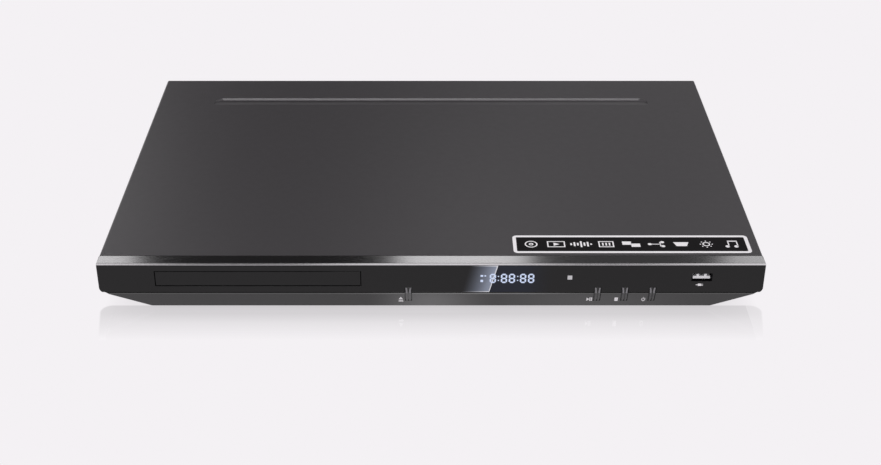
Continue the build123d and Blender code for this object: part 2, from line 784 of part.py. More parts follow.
# Moulded front panel: a stepped face over a chin that leans back, hollow behind
chin_lean_share = CHIN_SETBACK / CHIN_HEIGHT
ledge_z = fold_z - CHIN_LEDGE_DROP
lip_y = face_y + (CHIN_LEDGE_DROP + CHIN_LIP_HEIGHT) * chin_lean_share
with BuildPart() as panel_hollow:
    with BuildSketch(Plane.YZ):
        with BuildLine():
            Polyline(
                (panel_back_y + OVERRUN, top_z - PANEL_WALL),
                (cavity_y, top_z - PANEL_WALL),
                (cavity_y, fold_z),
                (face_y + CHIN_SETBACK + PANEL_WALL, base_z + PANEL_WALL),
                (panel_back_y + OVERRUN, base_z + PANEL_WALL),
                close=True,
            )
        make_face()
    extrude(amount=FRONT_WIDTH, both=True)
    with BuildSketch(upright(front_y)):
        add(outline(base_z - OVERRUN, top_z + OVERRUN))
        offset(amount=-PANEL_WALL, kind=Kind.INTERSECTION, mode=Mode.REPLACE)
    extrude(amount=-2 * FRONT_DEPTH, mode=Mode.INTERSECT)

with BuildPart() as front_panel:
    with BuildSketch(Plane.YZ):
        with BuildLine():
            Polyline(
                (panel_back_y, top_z),
                (trim_back_y, band_z),
                (trim_back_y, trim_z),
                (seat_y, trim_z),
                (seat_y, ledge_z),
                (lip_y + CHIN_LIP_DEPTH, ledge_z),
                (lip_y, ledge_z - CHIN_LIP_HEIGHT),
                (face_y + CHIN_SETBACK, base_z),
                (panel_back_y, base_z),
                close=True,
            )
        make_face()
    extrude(amount=FRONT_WIDTH, both=True)
    extrude(rounded_front(), amount=-FRONT_DEPTH, mode=Mode.INTERSECT)
    add(panel_hollow.part, mode=Mode.SUBTRACT)
    tongue_half = pan_half - PANEL_WALL
    block(
        (-tongue_half, panel_back_y - PANEL_WALL, top_z - PANEL_WALL),
        (tongue_half, panel_back_y + TONGUE_REACH, top_z - COVER_SHEET - SLIP),
    )
    block(
        (-flat_width / 2 + PANEL_WALL, panel_back_y - PANEL_WALL, floor_z + SLIP),
        (flat_width / 2 - PANEL_WALL, panel_back_y + TONGUE_REACH, base_z + PANEL_WALL),
    )
    with BuildSketch(upright(cavity_y)):
        with Locations(*boss_places):
            Circle(BOSS_RADIUS)
    extrude(amount=-(board_front_y - cavity_y))
    front_openings()
    with BuildSketch(upright(board_front_y)):
        with Locations(*boss_places):
            Circle(BOSS_SCREW_RADIUS)
    extrude(amount=BOSS_SCREW_LENGTH, mode=Mode.SUBTRACT)

# Bright trim strip along the top of the face
with BuildPart() as trim_strip:
    block((-FRONT_WIDTH / 2, front_y, trim_z), (FRONT_WIDTH / 2, trim_back_y, band_z))
    upper_front = trim_strip.edges().filter_by(Axis.X).sort_by(Axis.Y)[:2].sort_by(Axis.Z)[-1]
    chamfer(upper_front, length=TRIM_CHAMFER)
    extrude(rounded_front(), amount=-FRONT_DEPTH, mode=Mode.INTERSECT)

# Glossy face in two plates that meet on a slant beside the clock
fascia_top_z = trim_z - GROOVE
fascia_low_z = fold_z + FACE_GROOVE


def slant_x(z):
    """Where the slanted joint stands at a level."""
    rise_share = (z - fold_z) / (fascia_top_z - fold_z)
    return slant_bottom_x + (slant_top_x - slant_bottom_x) * rise_share


def face_plate(side, gap):
    """One of the two plates: the face's outline kept on one side of the slanted joint."""
    far_x = side * FRONT_WIDTH
    with BuildPart() as plate:
        with BuildSketch(upright(face_y)):
            add(outline(fascia_low_z, fascia_top_z))
            with BuildLine():
                Polyline(
                    (slant_x(fold_z - OVERRUN) + side * gap, fold_z - OVERRUN),
                    (far_x, fold_z - OVERRUN),
                    (far_x, top_z + OVERRUN),
                    (slant_x(top_z + OVERRUN) + side * gap, top_z + OVERRUN),
                    close=True,
                )
            make_face(mode=Mode.INTERSECT)
        extrude(amount=-FASCIA_SHEET)
        front_openings()
    return plate.part


with BuildPart() as fascia:
    add(face_plate(-1, 0))

with BuildPart() as display_lens:
    add(face_plate(1, JOINT_GAP))

# Tray door
with BuildPart() as tray_door:
    block(
        (door_x - DOOR_WIDTH / 2, face_y, door_low_z),
        (door_x + DOOR_WIDTH / 2, door_back_y, door_high_z),
    )
    rim = tray_door.faces().sort_by(Axis.Y)[0].edges()
    chamfer(rim, length=DOOR_EDGE)

# Keys: each fills a notch across the fold, with two raised fins that part towards the top
key_back_y = cavity_y + RUNNING_GAP
key_chin_y = face_y + KEY_DROP * chin_lean_share
switch_face_y = board_front_y - SWITCH_BODY
key_stem_y = switch_face_y - KEY_TRAVEL - SLIP
key_mid_z = (fold_z + key_top_z) / 2


def key_profile(setback):
    """Side view of a key from its outer line, set back by an amount, to its rear."""
    with BuildSketch(Plane.YZ) as profile:
        with BuildLine():
            Polyline(
                (face_y - KEY_PROUD + setback, key_top_z),
                (face_y - KEY_PROUD + setback, fold_z),
                (key_chin_y - KEY_PROUD + setback, key_low_z),
                (key_back_y, key_low_z),
                (key_back_y, key_top_z),
                close=True,
            )
        make_face()
    return profile.sketch


def key_part(key_x):
    """A whole key at its place along the front."""
    fin_in = KEY_FIN_GAP / 2
    fin_out = fin_in + KEY_FIN
    with BuildPart() as fins:
        extrude(key_profile(0), amount=KEY_WIDTH / 2, both=True)
        with BuildSketch(upright(face_y - OVERRUN)):
            for side in (-1, 1):
                with BuildLine():
                    Polyline(
                        (side * fin_in, key_low_z),
                        (side * fin_in, fold_z),
                        (side * (fin_in + KEY_FLARE / 4), key_mid_z),
                        (side * (fin_in + KEY_FLARE), key_top_z),
                        (side * (fin_out + KEY_FLARE), key_top_z),
                        (side * (fin_out + KEY_FLARE / 4), key_mid_z),
                        (side * fin_out, fold_z),
                        (side * fin_out, key_low_z),
                        close=True,
                    )
                make_face()
        extrude(amount=-(OVERRUN + FRONT_DEPTH), mode=Mode.INTERSECT)
    with BuildPart() as key:
        extrude(key_profile(KEY_FIN_DEPTH), amount=KEY_WIDTH / 2, both=True)
        add(fins.part)
        block(
            (-KEY_WIDTH / 2 - KEY_FLANGE, key_back_y, fold_z),
            (KEY_WIDTH / 2 + KEY_FLANGE, key_back_y + KEY_FLANGE_SHEET, key_top_z + KEY_FLANGE),
        )
        block(
            (-KEY_WIDTH / 4, key_back_y - KEY_FLANGE_SHEET, fold_z),
            (KEY_WIDTH / 4, key_stem_y, key_mid_z),
        )
    return key.part.moved(Location((key_x, 0, 0)))


with BuildPart() as eject_key:
    add(key_part(key_xs["eject_key"]))

with BuildPart() as play_key:
    add(key_part(key_xs["play_key"]))

with BuildPart() as stop_key:
    add(key_part(key_xs["stop_key"]))

with BuildPart() as power_key:
    add(key_part(key_xs["power_key"]))

# Sensor window, front socket and the board behind the front
with BuildPart() as sensor_window:
    block(
        (sensor_x - SENSOR_SIZE / 2, face_y, sensor_z - SENSOR_SIZE / 2),
        (sensor_x + SENSOR_SIZE / 2, board_front_y, sensor_z + SENSOR_SIZE / 2),
    )

usb_front_y = face_y + USB_RECESS
usb_back_y = usb_front_y + USB_LENGTH
with BuildPart() as usb_shell:
    block(
        (usb_x - usb_outer_width / 2, usb_front_y, usb_z - usb_outer_height / 2),
        (usb_x + usb_outer_width / 2, usb_back_y, usb_z + usb_outer_height / 2),
    )
    block(
        (usb_x - USB_WIDTH / 2, usb_front_y - OVERRUN, usb_z - USB_HEIGHT / 2),
        (usb_x + USB_WIDTH / 2, usb_back_y - USB_SHELL, usb_z + USB_HEIGHT / 2),
        mode=Mode.SUBTRACT,
    )

with BuildPart() as usb_tongue:
    block(
        (usb_x - USB_WIDTH / 2, usb_back_y - USB_SHELL - USB_BLOCK, usb_z - USB_HEIGHT / 2),
        (usb_x + USB_WIDTH / 2, usb_back_y - USB_SHELL, usb_z + USB_HEIGHT / 2),
    )
    tongue_low_z = usb_z + USB_TONGUE_LIFT - USB_TONGUE_SHEET / 2
    block(
        (usb_x - USB_TONGUE_WIDTH / 2, usb_front_y + USB_TONGUE_RECESS, tongue_low_z),
        (usb_x + USB_TONGUE_WIDTH / 2, usb_back_y - USB_SHELL - USB_BLOCK, tongue_low_z + USB_TONGUE_SHEET),
    )
    spring_y = usb_front_y + USB_TONGUE_RECESS + USB_SPRING_LENGTH / 2
    spring_z = tongue_low_z + USB_TONGUE_SHEET + USB_SPRING_HEIGHT / 2
    with Locations((usb_x, spring_y, spring_z)):
        with GridLocations(USB_SPRING_SPREAD, 0, 2, 1):
            Box(USB_SPRING_WIDTH, USB_SPRING_LENGTH, USB_SPRING_HEIGHT)

board_back_y = board_front_y + BOARD_SHEET
front_board_low_z = base_z + FRONT_BOARD_RISE
front_board_high_z = top_z - PANEL_WALL - FRONT_BOARD_TOP
with BuildPart() as front_board:
    block(
        (front_board_left, board_front_y, front_board_low_z),
        (front_board_right, board_back_y, front_board_high_z),
    )
    with BuildSketch(upright(board_front_y - OVERRUN)):
        with Locations((usb_x, usb_z)):
            Rectangle(usb_outer_width + 2 * SLIP, usb_outer_height + 2 * SLIP)
        with Locations(*boss_places):
            Circle(BOSS_SCREW_RADIUS + SLIP)
    extrude(amount=-(2 * OVERRUN), mode=Mode.SUBTRACT)

with BuildPart() as key_switches:
    for key_x in key_xs.values():
        switch_z = (fold_z + key_mid_z) / 2
        block(
            (key_x - SWITCH_SIZE / 2, switch_face_y, switch_z - SWITCH_SIZE / 2),
            (key_x + SWITCH_SIZE / 2, board_front_y, switch_z + SWITCH_SIZE / 2),
        )

with BuildPart() as display_module:
    block(
        (display_x - DISPLAY_WIDTH / 2, cavity_y + SLIP, display_z - DISPLAY_HEIGHT / 2),
        (display_x + DISPLAY_WIDTH / 2, board_front_y, display_z + DISPLAY_HEIGHT / 2),
    )


# Disc tray: a plate with the two disc wells, a slot for the spindle and pickup, and a skirt on each side
tray_half = TRAY_WIDTH / 2
skirt_inner = tray_half - SKIRT_WIDTH
with BuildPart() as disc_tray:
    block(
        (door_x - tray_half, tray_front_y, tray_plate_z),
        (door_x + tray_half, tray_back_y, tray_top_z),
    )
    back_corners = disc_tray.edges().filter_by(Axis.Z).sort_by(Axis.Y)[-2:]
    chamfer(back_corners, length=SKIRT_WIDTH)
    upper_rim = disc_tray.faces().sort_by(Axis.Z)[-1].edges().sort_by(Axis.Y)[1:]
    chamfer(upper_rim, length=TRAY_EDGE)
    for side in (-1, 1):
        block(
            (door_x + side * skirt_inner, tray_front_y, tray_low_z),
            (door_x + side * tray_half, tray_back_y - SKIRT_WIDTH, tray_plate_z),
        )
    post(door_x, well_y, well_floor_z, tray_top_z + OVERRUN, WELL_DIAMETER / 2, Mode.SUBTRACT)
    post(door_x, well_y, small_floor_z, tray_top_z + OVERRUN, SMALL_WELL_DIAMETER / 2, Mode.SUBTRACT)
    post(door_x, well_y, tray_low_z, tray_top_z + OVERRUN, TRAY_SLOT_WIDTH / 2, Mode.SUBTRACT)
    block(
        (door_x - TRAY_SLOT_WIDTH / 2, well_y, tray_low_z),
        (door_x + TRAY_SLOT_WIDTH / 2, tray_back_y + OVERRUN, tray_top_z + OVERRUN),
        mode=Mode.SUBTRACT,
    )

# Rack along the inside of the left skirt
tooth_lean = tan(radians(PRESSURE_ANGLE))
rack_half_tooth = RACK_MODULE * (pi / 4 - BACKLASH_SHARE / 2)
rack_tip_x = rack_pitch_x + ADDENDUM_SHARE * RACK_MODULE
rack_root_x = rack_pitch_x - DEDENDUM_SHARE * RACK_MODULE
rack_tip_half = rack_half_tooth - ADDENDUM_SHARE * RACK_MODULE * tooth_lean
rack_root_half = rack_half_tooth + DEDENDUM_SHARE * RACK_MODULE * tooth_lean
rack_step = pi * RACK_MODULE
rack_low_y = gear_y - RACK_LEAD
rack_high_y = min(gear_y + TRAY_TRAVEL + RACK_LEAD, tray_back_y - SKIRT_WIDTH)
first_tooth = -int((RACK_LEAD - rack_root_half) / rack_step + 1 / 2)
last_tooth = int((rack_high_y - gear_y - rack_root_half) / rack_step - 1 / 2)
rack_points = [(door_x - skirt_inner, rack_low_y), (rack_root_x, rack_low_y)]
for tooth in range(first_tooth, last_tooth + 1):
    tooth_y = gear_y + (tooth + 1 / 2) * rack_step
    rack_points.append((rack_root_x, tooth_y - rack_root_half))
    rack_points.append((rack_tip_x, tooth_y - rack_tip_half))
    rack_points.append((rack_tip_x, tooth_y + rack_tip_half))
    rack_points.append((rack_root_x, tooth_y + rack_root_half))
rack_points.append((rack_root_x, rack_high_y))
rack_points.append((door_x - skirt_inner, rack_high_y))
with BuildPart() as tray_rack:
    with BuildSketch(Plane.XY.offset(tray_low_z)):
        with BuildLine():
            Polyline(*rack_points, close=True)
        make_face()
    extrude(amount=tray_plate_z - tray_low_z)


def involute(angle):
    """How far an involute has unrolled at a pressure angle."""
    return tan(angle) - angle


def gear_face(teeth, module, first_angle, centre):
    """A spur gear's outline about a centre, with a tooth on the first angle."""
    x, y, z = centre
    pressure = radians(PRESSURE_ANGLE)
    pitch_r = module * teeth / 2
    base_r = pitch_r * cos(pressure)
    tip_r = pitch_r + ADDENDUM_SHARE * module
    root_r = pitch_r - DEDENDUM_SHARE * module
    start_r = max(root_r, base_r)
    half_tooth = (pi / 2 - BACKLASH_SHARE) / teeth
    flank = []
    for r in (start_r, (start_r + pitch_r) / 2, pitch_r, (pitch_r + tip_r) / 2, tip_r):
        lean = half_tooth + involute(pressure) - involute(acos(base_r / r))
        flank.append((r, lean))
    half_outline = [(root_r, flank[0][1])] + flank
    points = []
    for tooth in range(teeth):
        turn = first_angle + 2 * pi * tooth / teeth
        for r, lean in half_outline:
            points.append((x + r * cos(turn - lean), y + r * sin(turn - lean)))
        for r, lean in reversed(half_outline):
            points.append((x + r * cos(turn + lean), y + r * sin(turn + lean)))
    with BuildSketch(Plane.XY.offset(z)) as face:
        with BuildLine():
            Polyline(*points, close=True)
        make_face()
    return face.sketch


# Loader frame: deck, side walls with rails, posts for the gears and bearings for the traverse
with BuildPart() as loader_frame:
    block(
        (door_x - frame_outer, frame_front_y, deck_z),
        (door_x + frame_outer, frame_back_y, deck_top_z),
    )
    block(
        (door_x - OPENING_WIDTH / 2, opening_front_y, deck_z - OVERRUN),
        (door_x + OPENING_WIDTH / 2, frame_back_y - OPENING_BACK_MARGIN, deck_top_z + OVERRUN),
        mode=Mode.SUBTRACT,
    )
    for side in (-1, 1):
        block(
            (door_x + side * frame_inner, frame_front_y, deck_z),
            (door_x + side * frame_outer, frame_back_y, frame_top_z),
        )
        block(
            (door_x + side * (frame_inner - RAIL_WIDTH), frame_front_y, rail_top_z - RAIL_SHEET),
            (door_x + side * frame_inner, frame_back_y, rail_top_z),
        )
        for tab_y in tab_ys:
            block(
                (door_x + side * (frame_inner - RAIL_WIDTH), tab_y, tray_top_z + RUNNING_GAP),
                (door_x + side * frame_inner, tab_y + FRAME_TAB_LENGTH, frame_top_z),
            )
        bearing_in = door_x + side * (OPENING_WIDTH / 2)
        block(
            (bearing_in, pivot_y - 2 * PIVOT_RADIUS, deck_top_z),
            (bearing_in + side * PIVOT_REACH, pivot_y + 2 * PIVOT_RADIUS, pivot_z + 2 * PIVOT_RADIUS),
        )
    for x, y in loader_posts:
        post(x, y, floor_z, deck_z, FRAME_POST_RADIUS)
    post(gear_x, gear_y, deck_top_z, wheel_low_z - SLIP, GEAR_COLLAR_RADIUS)
    post(gear_x, gear_y, deck_top_z, pinion_high_z, GEAR_POST_RADIUS)
    post(pulley_x, gear_y, deck_top_z, pulley_low_z - SLIP, PULLEY_COLLAR_RADIUS)
    post(pulley_x, gear_y, deck_top_z, wheel_high_z, PULLEY_POST_RADIUS)
    post(motor_x, gear_y, deck_z - OVERRUN, deck_top_z + OVERRUN, MOTOR_RADIUS + SLIP, Mode.SUBTRACT)
    with Locations((door_x, pivot_y, pivot_z)):
        Cylinder(
            PIVOT_RADIUS + BEARING_GAP,
            OPENING_WIDTH + 2 * PIVOT_REACH,
            rotation=(0, 90, 0),
            mode=Mode.SUBTRACT,
        )
    for x, y in loader_posts:
        post(x, y, floor_z, deck_top_z, screw_hole_radius, Mode.SUBTRACT)

# Tapping screws of the loader frame and the front board
with BuildPart() as tapping_screws:
    for x, y in loader_posts:
        post(x, y, base_z, deck_top_z, SCREW_RADIUS)
        post(x, y, deck_top_z, deck_top_z + BOARD_SCREW_HEIGHT, BOARD_SCREW_HEAD)
    with BuildSketch(upright(board_back_y)):
        with Locations(*boss_places):
            Circle(BOSS_SCREW_HEAD)
    extrude(amount=-BOSS_SCREW_HEAD_HEIGHT)
    with BuildSketch(upright(board_back_y)):
        with Locations(*boss_places):
            Circle(BOSS_SCREW_RADIUS)
    extrude(amount=BOARD_SHEET + BOSS_SCREW_LENGTH - SLIP)

# Loading gears: the drive gear turns the rack, the pulley gear turns the drive gear
with BuildPart() as drive_gear:
    extrude(gear_face(WHEEL_TEETH, WHEEL_MODULE, 0, (gear_x, gear_y, wheel_low_z)), WHEEL_FACE)
    extrude(gear_face(PINION_TEETH, RACK_MODULE, pi, (gear_x, gear_y, pinion_low_z)), PINION_FACE)
    post(gear_x, gear_y, wheel_high_z, pinion_low_z, GEAR_HUB_RADIUS)
    post(gear_x, gear_y, wheel_low_z, pinion_high_z, GEAR_POST_RADIUS + BEARING_GAP, Mode.SUBTRACT)

pulley_gap_angle = pi + pi / PULLEY_TEETH
pulley_hub_radius = WHEEL_MODULE * (PULLEY_TEETH / 2 - DEDENDUM_SHARE)


def pulley(x, radius):
    """Adds a grooved belt pulley about an upright axis to the part being built."""
    post(x, gear_y, pulley_low_z, pulley_low_z + PULLEY_FACE, radius)
    ring_low = pulley_low_z + PULLEY_FLANGE
    ring_high = pulley_low_z + PULLEY_FACE - PULLEY_FLANGE
    with BuildPart(mode=Mode.PRIVATE) as ring:
        post(x, gear_y, ring_low, ring_high, radius + OVERRUN)
        post(x, gear_y, ring_low, ring_high, radius - PULLEY_GROOVE, Mode.SUBTRACT)
    add(ring.part, mode=Mode.SUBTRACT)


with BuildPart() as pulley_gear:
    pulley(pulley_x, PULLEY_RADIUS)
    post(pulley_x, gear_y, pulley_low_z + PULLEY_FACE, wheel_low_z, pulley_hub_radius)
    pulley_centre = (pulley_x, gear_y, wheel_low_z)
    extrude(gear_face(PULLEY_TEETH, WHEEL_MODULE, pulley_gap_angle, pulley_centre), WHEEL_FACE)
    post(pulley_x, gear_y, pulley_low_z, wheel_high_z, PULLEY_POST_RADIUS + BEARING_GAP, Mode.SUBTRACT)

with BuildPart() as motor_pulley:
    pulley(motor_x, MOTOR_PULLEY_RADIUS)
    post(motor_x, gear_y, motor_low_z + MOTOR_HEIGHT / 2, pulley_low_z, MOTOR_SHAFT_RADIUS)

with BuildPart() as loading_motor:
    post(motor_x, gear_y, motor_low_z, deck_top_z, MOTOR_RADIUS)
    post(motor_x, gear_y, deck_top_z, deck_top_z + MOTOR_FLANGE_SHEET, MOTOR_RADIUS + MOTOR_FLANGE)
    post(
        motor_x,
        gear_y,
        motor_low_z + MOTOR_HEIGHT / 2 - SLIP,
        deck_top_z + OVERRUN,
        MOTOR_SHAFT_RADIUS + BEARING_GAP,
        Mode.SUBTRACT,
    )

belt_low_z = pulley_low_z + (PULLEY_FACE - BELT_HEIGHT) / 2
belt_big_r = PULLEY_RADIUS - PULLEY_GROOVE + SLIP
belt_small_r = MOTOR_PULLEY_RADIUS - PULLEY_GROOVE + SLIP


def belt_face(grow):
    """The area inside the belt's loop, grown by an amount."""
    with BuildSketch(Plane.XY.offset(belt_low_z)) as loop:
        with Locations((pulley_x, gear_y)):
            Circle(belt_big_r + grow)
        with Locations((motor_x, gear_y)):
            Circle(belt_small_r + grow)
        make_hull()
    return loop.sketch


with BuildPart() as drive_belt:
    extrude(belt_face(BELT_THICKNESS), BELT_HEIGHT)
    extrude(belt_face(0), BELT_HEIGHT, mode=Mode.SUBTRACT)

# Cam slider in front of the traverse: its slanted slot lowers the traverse's pin
cam_front_y = opening_front_y + RUNNING_GAP
cam_x = door_x + CAM_PIN_OFFSET
cam_drop = (pivot_y - cam_front_y) * sin(radians(TRAVERSE_TILT))
cam_slot_half = CAM_PIN_RADIUS + SLIP
cam_margin = cam_slot_half + CAM_BORDER
with BuildPart() as cam_slider:
    block(
        (cam_x - CAM_TRAVEL - cam_margin, cam_front_y, pivot_z - cam_drop - cam_margin),
        (cam_x + cam_margin, cam_front_y + CAM_SHEET, pivot_z + cam_margin),
    )
    with BuildSketch(upright(cam_front_y - OVERRUN)):
        with Locations((cam_x, pivot_z), (cam_x - CAM_TRAVEL, pivot_z - cam_drop)):
            Circle(cam_slot_half)
        make_hull()
    extrude(amount=-2 * OVERRUN - CAM_SHEET, mode=Mode.SUBTRACT)

# Traverse: the swinging plate that carries spindle and pickup
traverse_half = TRAVERSE_WIDTH / 2
window_front_y = pickup_front_y - PICKUP_WINDOW_MARGIN
window_back_y = pickup_front_y + PICKUP_LENGTH + PICKUP_TRAVEL + PICKUP_WINDOW_MARGIN
rod_xs = (door_x - ROD_SPACING / 2, door_x + ROD_SPACING / 2)
lead_x = door_x + SCREW_LEAD_X
holder_top_z = rod_z + ROD_RADIUS + BUSH_WALL / 2
holder_front_y = window_front_y - ROD_HOLDER_SHEET
holder_back_y = window_back_y + ROD_HOLDER_SHEET
sled_front_y = window_back_y + SLED_BRACKET
sled_back_y = sled_front_y + SLED_MOTOR_LENGTH
sled_room = SLED_MOTOR_RADIUS + RUNNING_GAP


def rod_bore(x, radius, mode):
    """Adds or cuts a round bar along the traverse, from holder to holder, in the part being built."""
    with Locations((x, (holder_front_y + holder_back_y) / 2, rod_z)):
        Cylinder(radius, holder_back_y - holder_front_y, rotation=(90, 0, 0), mode=mode)


with BuildPart() as traverse_plate:
    block(
        (door_x - traverse_half, traverse_front_y, traverse_z),
        (door_x + traverse_half, traverse_back_y, traverse_top_z),
    )
    block(
        (door_x - traverse_half, traverse_front_y, traverse_z - TRAVERSE_FLANGE),
        (door_x + traverse_half, traverse_front_y + TRAVERSE_SHEET, traverse_z),
    )
    block(
        (door_x - PICKUP_WINDOW_WIDTH / 2, window_front_y, traverse_z - OVERRUN),
        (door_x + PICKUP_WINDOW_WIDTH / 2, window_back_y, traverse_top_z + OVERRUN),
        mode=Mode.SUBTRACT,
    )
    block(
        (lead_x - sled_room, sled_front_y, traverse_z - OVERRUN),
        (lead_x + sled_room, sled_back_y + RUNNING_GAP, traverse_top_z + OVERRUN),
        mode=Mode.SUBTRACT,
    )
    for x in rod_xs:
        for y in (holder_front_y, window_back_y):
            block(
                (x - ROD_HOLDER / 2, y, traverse_top_z),
                (x + ROD_HOLDER / 2, y + ROD_HOLDER_SHEET, holder_top_z),
            )
    block(
        (lead_x - ROD_HOLDER / 2, holder_front_y, traverse_top_z),
        (lead_x + ROD_HOLDER / 2, window_front_y, holder_top_z),
    )
    block(
        (lead_x - ROD_HOLDER / 2, window_back_y, traverse_top_z),
        (lead_x + ROD_HOLDER / 2, sled_front_y, holder_top_z),
    )
    for x in rod_xs:
        rod_bore(x, ROD_RADIUS + BEARING_GAP, Mode.SUBTRACT)
    rod_bore(lead_x, LEAD_SCREW_RADIUS + BEARING_GAP, Mode.SUBTRACT)
    with Locations((door_x, pivot_y, pivot_z)):
        for side in (-1, 1):
            with Locations((side * (traverse_half + pivot_pin_length / 2), 0, 0)):
                Cylinder(PIVOT_RADIUS, pivot_pin_length, rotation=(0, 90, 0))
    cam_pin_length = traverse_front_y - cam_front_y
    with Locations((cam_x, traverse_front_y - cam_pin_length / 2, pivot_z)):
        Cylinder(CAM_PIN_RADIUS, cam_pin_length, rotation=(90, 0, 0))
    post(door_x, well_y, traverse_z, traverse_top_z, SPINDLE_COLLAR_RADIUS + BEARING_GAP, Mode.SUBTRACT)

with BuildPart() as spindle_motor:
    post(door_x, well_y, traverse_z - SPINDLE_BODY, traverse_z, SPINDLE_RADIUS)
    post(door_x, well_y, traverse_z, traverse_top_z, SPINDLE_COLLAR_RADIUS)
    post(
        door_x,
        well_y,
        traverse_z - SPINDLE_BODY + TRAVERSE_SHEET,
        traverse_top_z + OVERRUN,
        SPINDLE_SHAFT_RADIUS + BEARING_GAP,
        Mode.SUBTRACT,
    )

with BuildPart() as spindle_rotor:
    post(door_x, well_y, traverse_top_z + RUNNING_GAP, turntable_low_z, ROTOR_RADIUS)
    post(
        door_x,
        well_y,
        traverse_z - SPINDLE_BODY + TRAVERSE_SHEET + SLIP,
        traverse_top_z + RUNNING_GAP,
        SPINDLE_SHAFT_RADIUS,
    )

with BuildPart() as turntable:
    post(door_x, well_y, turntable_low_z, disc_seat_z, TURNTABLE_RADIUS)
    turntable_rim = turntable.edges().group_by(Axis.Z)[-1]
    chamfer(turntable_rim, length=SLIP)
    with Locations((door_x, well_y, disc_seat_z + HUB_HEIGHT / 2)):
        Cone(HUB_RADIUS, HUB_TOP_RADIUS, HUB_HEIGHT)

with BuildPart() as guide_rods:
    for x in rod_xs:
        rod_bore(x, ROD_RADIUS, Mode.ADD)

with BuildPart() as lead_screw:
    rod_bore(lead_x, LEAD_SCREW_RADIUS, Mode.ADD)

with BuildPart() as sled_motor:
    with Locations((lead_x, sled_front_y + SLED_MOTOR_LENGTH / 2, rod_z)):
        Cylinder(SLED_MOTOR_RADIUS, SLED_MOTOR_LENGTH, rotation=(90, 0, 0))
    rod_bore(lead_x, LEAD_SCREW_RADIUS + BEARING_GAP, Mode.SUBTRACT)

pickup_half = PICKUP_WIDTH / 2
pickup_mid_y = pickup_front_y + PICKUP_LENGTH / 2
bush_half = ROD_RADIUS + BUSH_WALL
with BuildPart() as pickup:
    block(
        (door_x - pickup_half, pickup_front_y, pickup_low_z),
        (door_x + pickup_half, pickup_front_y + PICKUP_LENGTH, pickup_top_z),
    )
    for side, x in zip((-1, 1), rod_xs):
        block(
            (door_x + side * pickup_half, pickup_mid_y - BUSH_LENGTH / 2, rod_z - bush_half),
            (x + side * bush_half, pickup_mid_y + BUSH_LENGTH / 2, pickup_top_z),
        )
    block(
        (rod_xs[1] + bush_half, pickup_mid_y - BUSH_LENGTH / 4, rod_z + LEAD_SCREW_RADIUS + SLIP),
        (lead_x + LEAD_SCREW_RADIUS, pickup_mid_y + BUSH_LENGTH / 4, pickup_top_z),
    )
    for x in rod_xs:
        rod_bore(x, ROD_RADIUS + BEARING_GAP, Mode.SUBTRACT)

lens_y = pickup_front_y + PICKUP_LENS_SETBACK
with BuildPart() as pickup_lens:
    post(door_x, lens_y, pickup_top_z, pickup_top_z + PICKUP_LENS_HEIGHT, PICKUP_LENS_RADIUS)
    lens_rim = pickup_lens.edges().group_by(Axis.Z)[-1]
    fillet(lens_rim, radius=PICKUP_LENS_HEIGHT / 2)

# Disc clamp: a bridge over the tray with a loose puck in it
with BuildPart() as clamp_bridge:
    block(
        (door_x - frame_outer, well_y - BRIDGE_DEPTH / 2, frame_top_z),
        (door_x + frame_outer, well_y + BRIDGE_DEPTH / 2, bridge_top_z),
    )
    post(door_x, well_y, frame_top_z - OVERRUN, bridge_top_z + OVERRUN, BRIDGE_HOLE_RADIUS, Mode.SUBTRACT)

puck_low_z = disc_seat_z + DISC_THICKNESS
puck_recess_z = puck_low_z + HUB_HEIGHT
puck_flange_z = bridge_top_z + RUNNING_GAP
with BuildPart() as clamp_puck:
    post(door_x, well_y, puck_low_z, frame_top_z - RUNNING_GAP, PUCK_RADIUS)
    post(door_x, well_y, frame_top_z - RUNNING_GAP, puck_flange_z, PUCK_NECK_RADIUS)
    post(door_x, well_y, puck_flange_z, puck_flange_z + PUCK_FLANGE_SHEET, PUCK_FLANGE_RADIUS)
    post(door_x, well_y, puck_low_z, puck_recess_z, PUCK_RECESS_RADIUS, Mode.SUBTRACT)


# Rear panel with its socket openings and vents
with BuildPart() as rear_panel:
    with BuildSketch(upright(rear_inner_y)):
        add(pan_outline(PAN_SHEET + SLIP))
        with Locations((0, top_z - COVER_SHEET - REAR_TOP_GAP)):
            Rectangle(
                2 * FRONT_WIDTH,
                2 * FRONT_WIDTH,
                align=(Align.CENTER, Align.MIN),
                mode=Mode.SUBTRACT,
            )
    extrude(amount=-REAR_SHEET)
    with BuildSketch(upright(rear_inner_y - OVERRUN)):
        with Locations((hdmi_x, hdmi_z)):
            Rectangle(HDMI_WIDTH + 2 * PORT_GAP, HDMI_HEIGHT + 2 * PORT_GAP)
        with Locations((lan_x, lan_z)):
            Rectangle(LAN_WIDTH + 2 * PORT_GAP, LAN_HEIGHT + 2 * PORT_GAP)
        with Locations((optical_x, optical_z)):
            Rectangle(OPTICAL_SIZE + 2 * PORT_GAP, OPTICAL_SIZE + 2 * PORT_GAP)
        with Locations((inlet_x, inlet_z)):
            Rectangle(INLET_WIDTH + 2 * PORT_GAP, INLET_HEIGHT + 2 * PORT_GAP)
        with Locations(*[(x, jack_z) for x in jack_xs]):
            Circle(JACK_RADIUS + PORT_GAP)
        with Locations((-vent_x, rear_vent_z)):
            with GridLocations(VENT_PITCH, 0, VENT_COUNT, 1):
                Rectangle(VENT_WIDTH, REAR_VENT_HEIGHT)
    extrude(amount=-(2 * OVERRUN), mode=Mode.SUBTRACT)
    screw_seats()

# Main board and power board on their standoffs
with BuildPart() as main_board:
    block(
        (main_left, main_front_y, board_z),
        (main_left + MAIN_BOARD_WIDTH, board_edge_y, board_top_z),
    )
    for x, y in main_standoffs:
        post(x, y, board_z, board_top_z, screw_hole_radius, Mode.SUBTRACT)

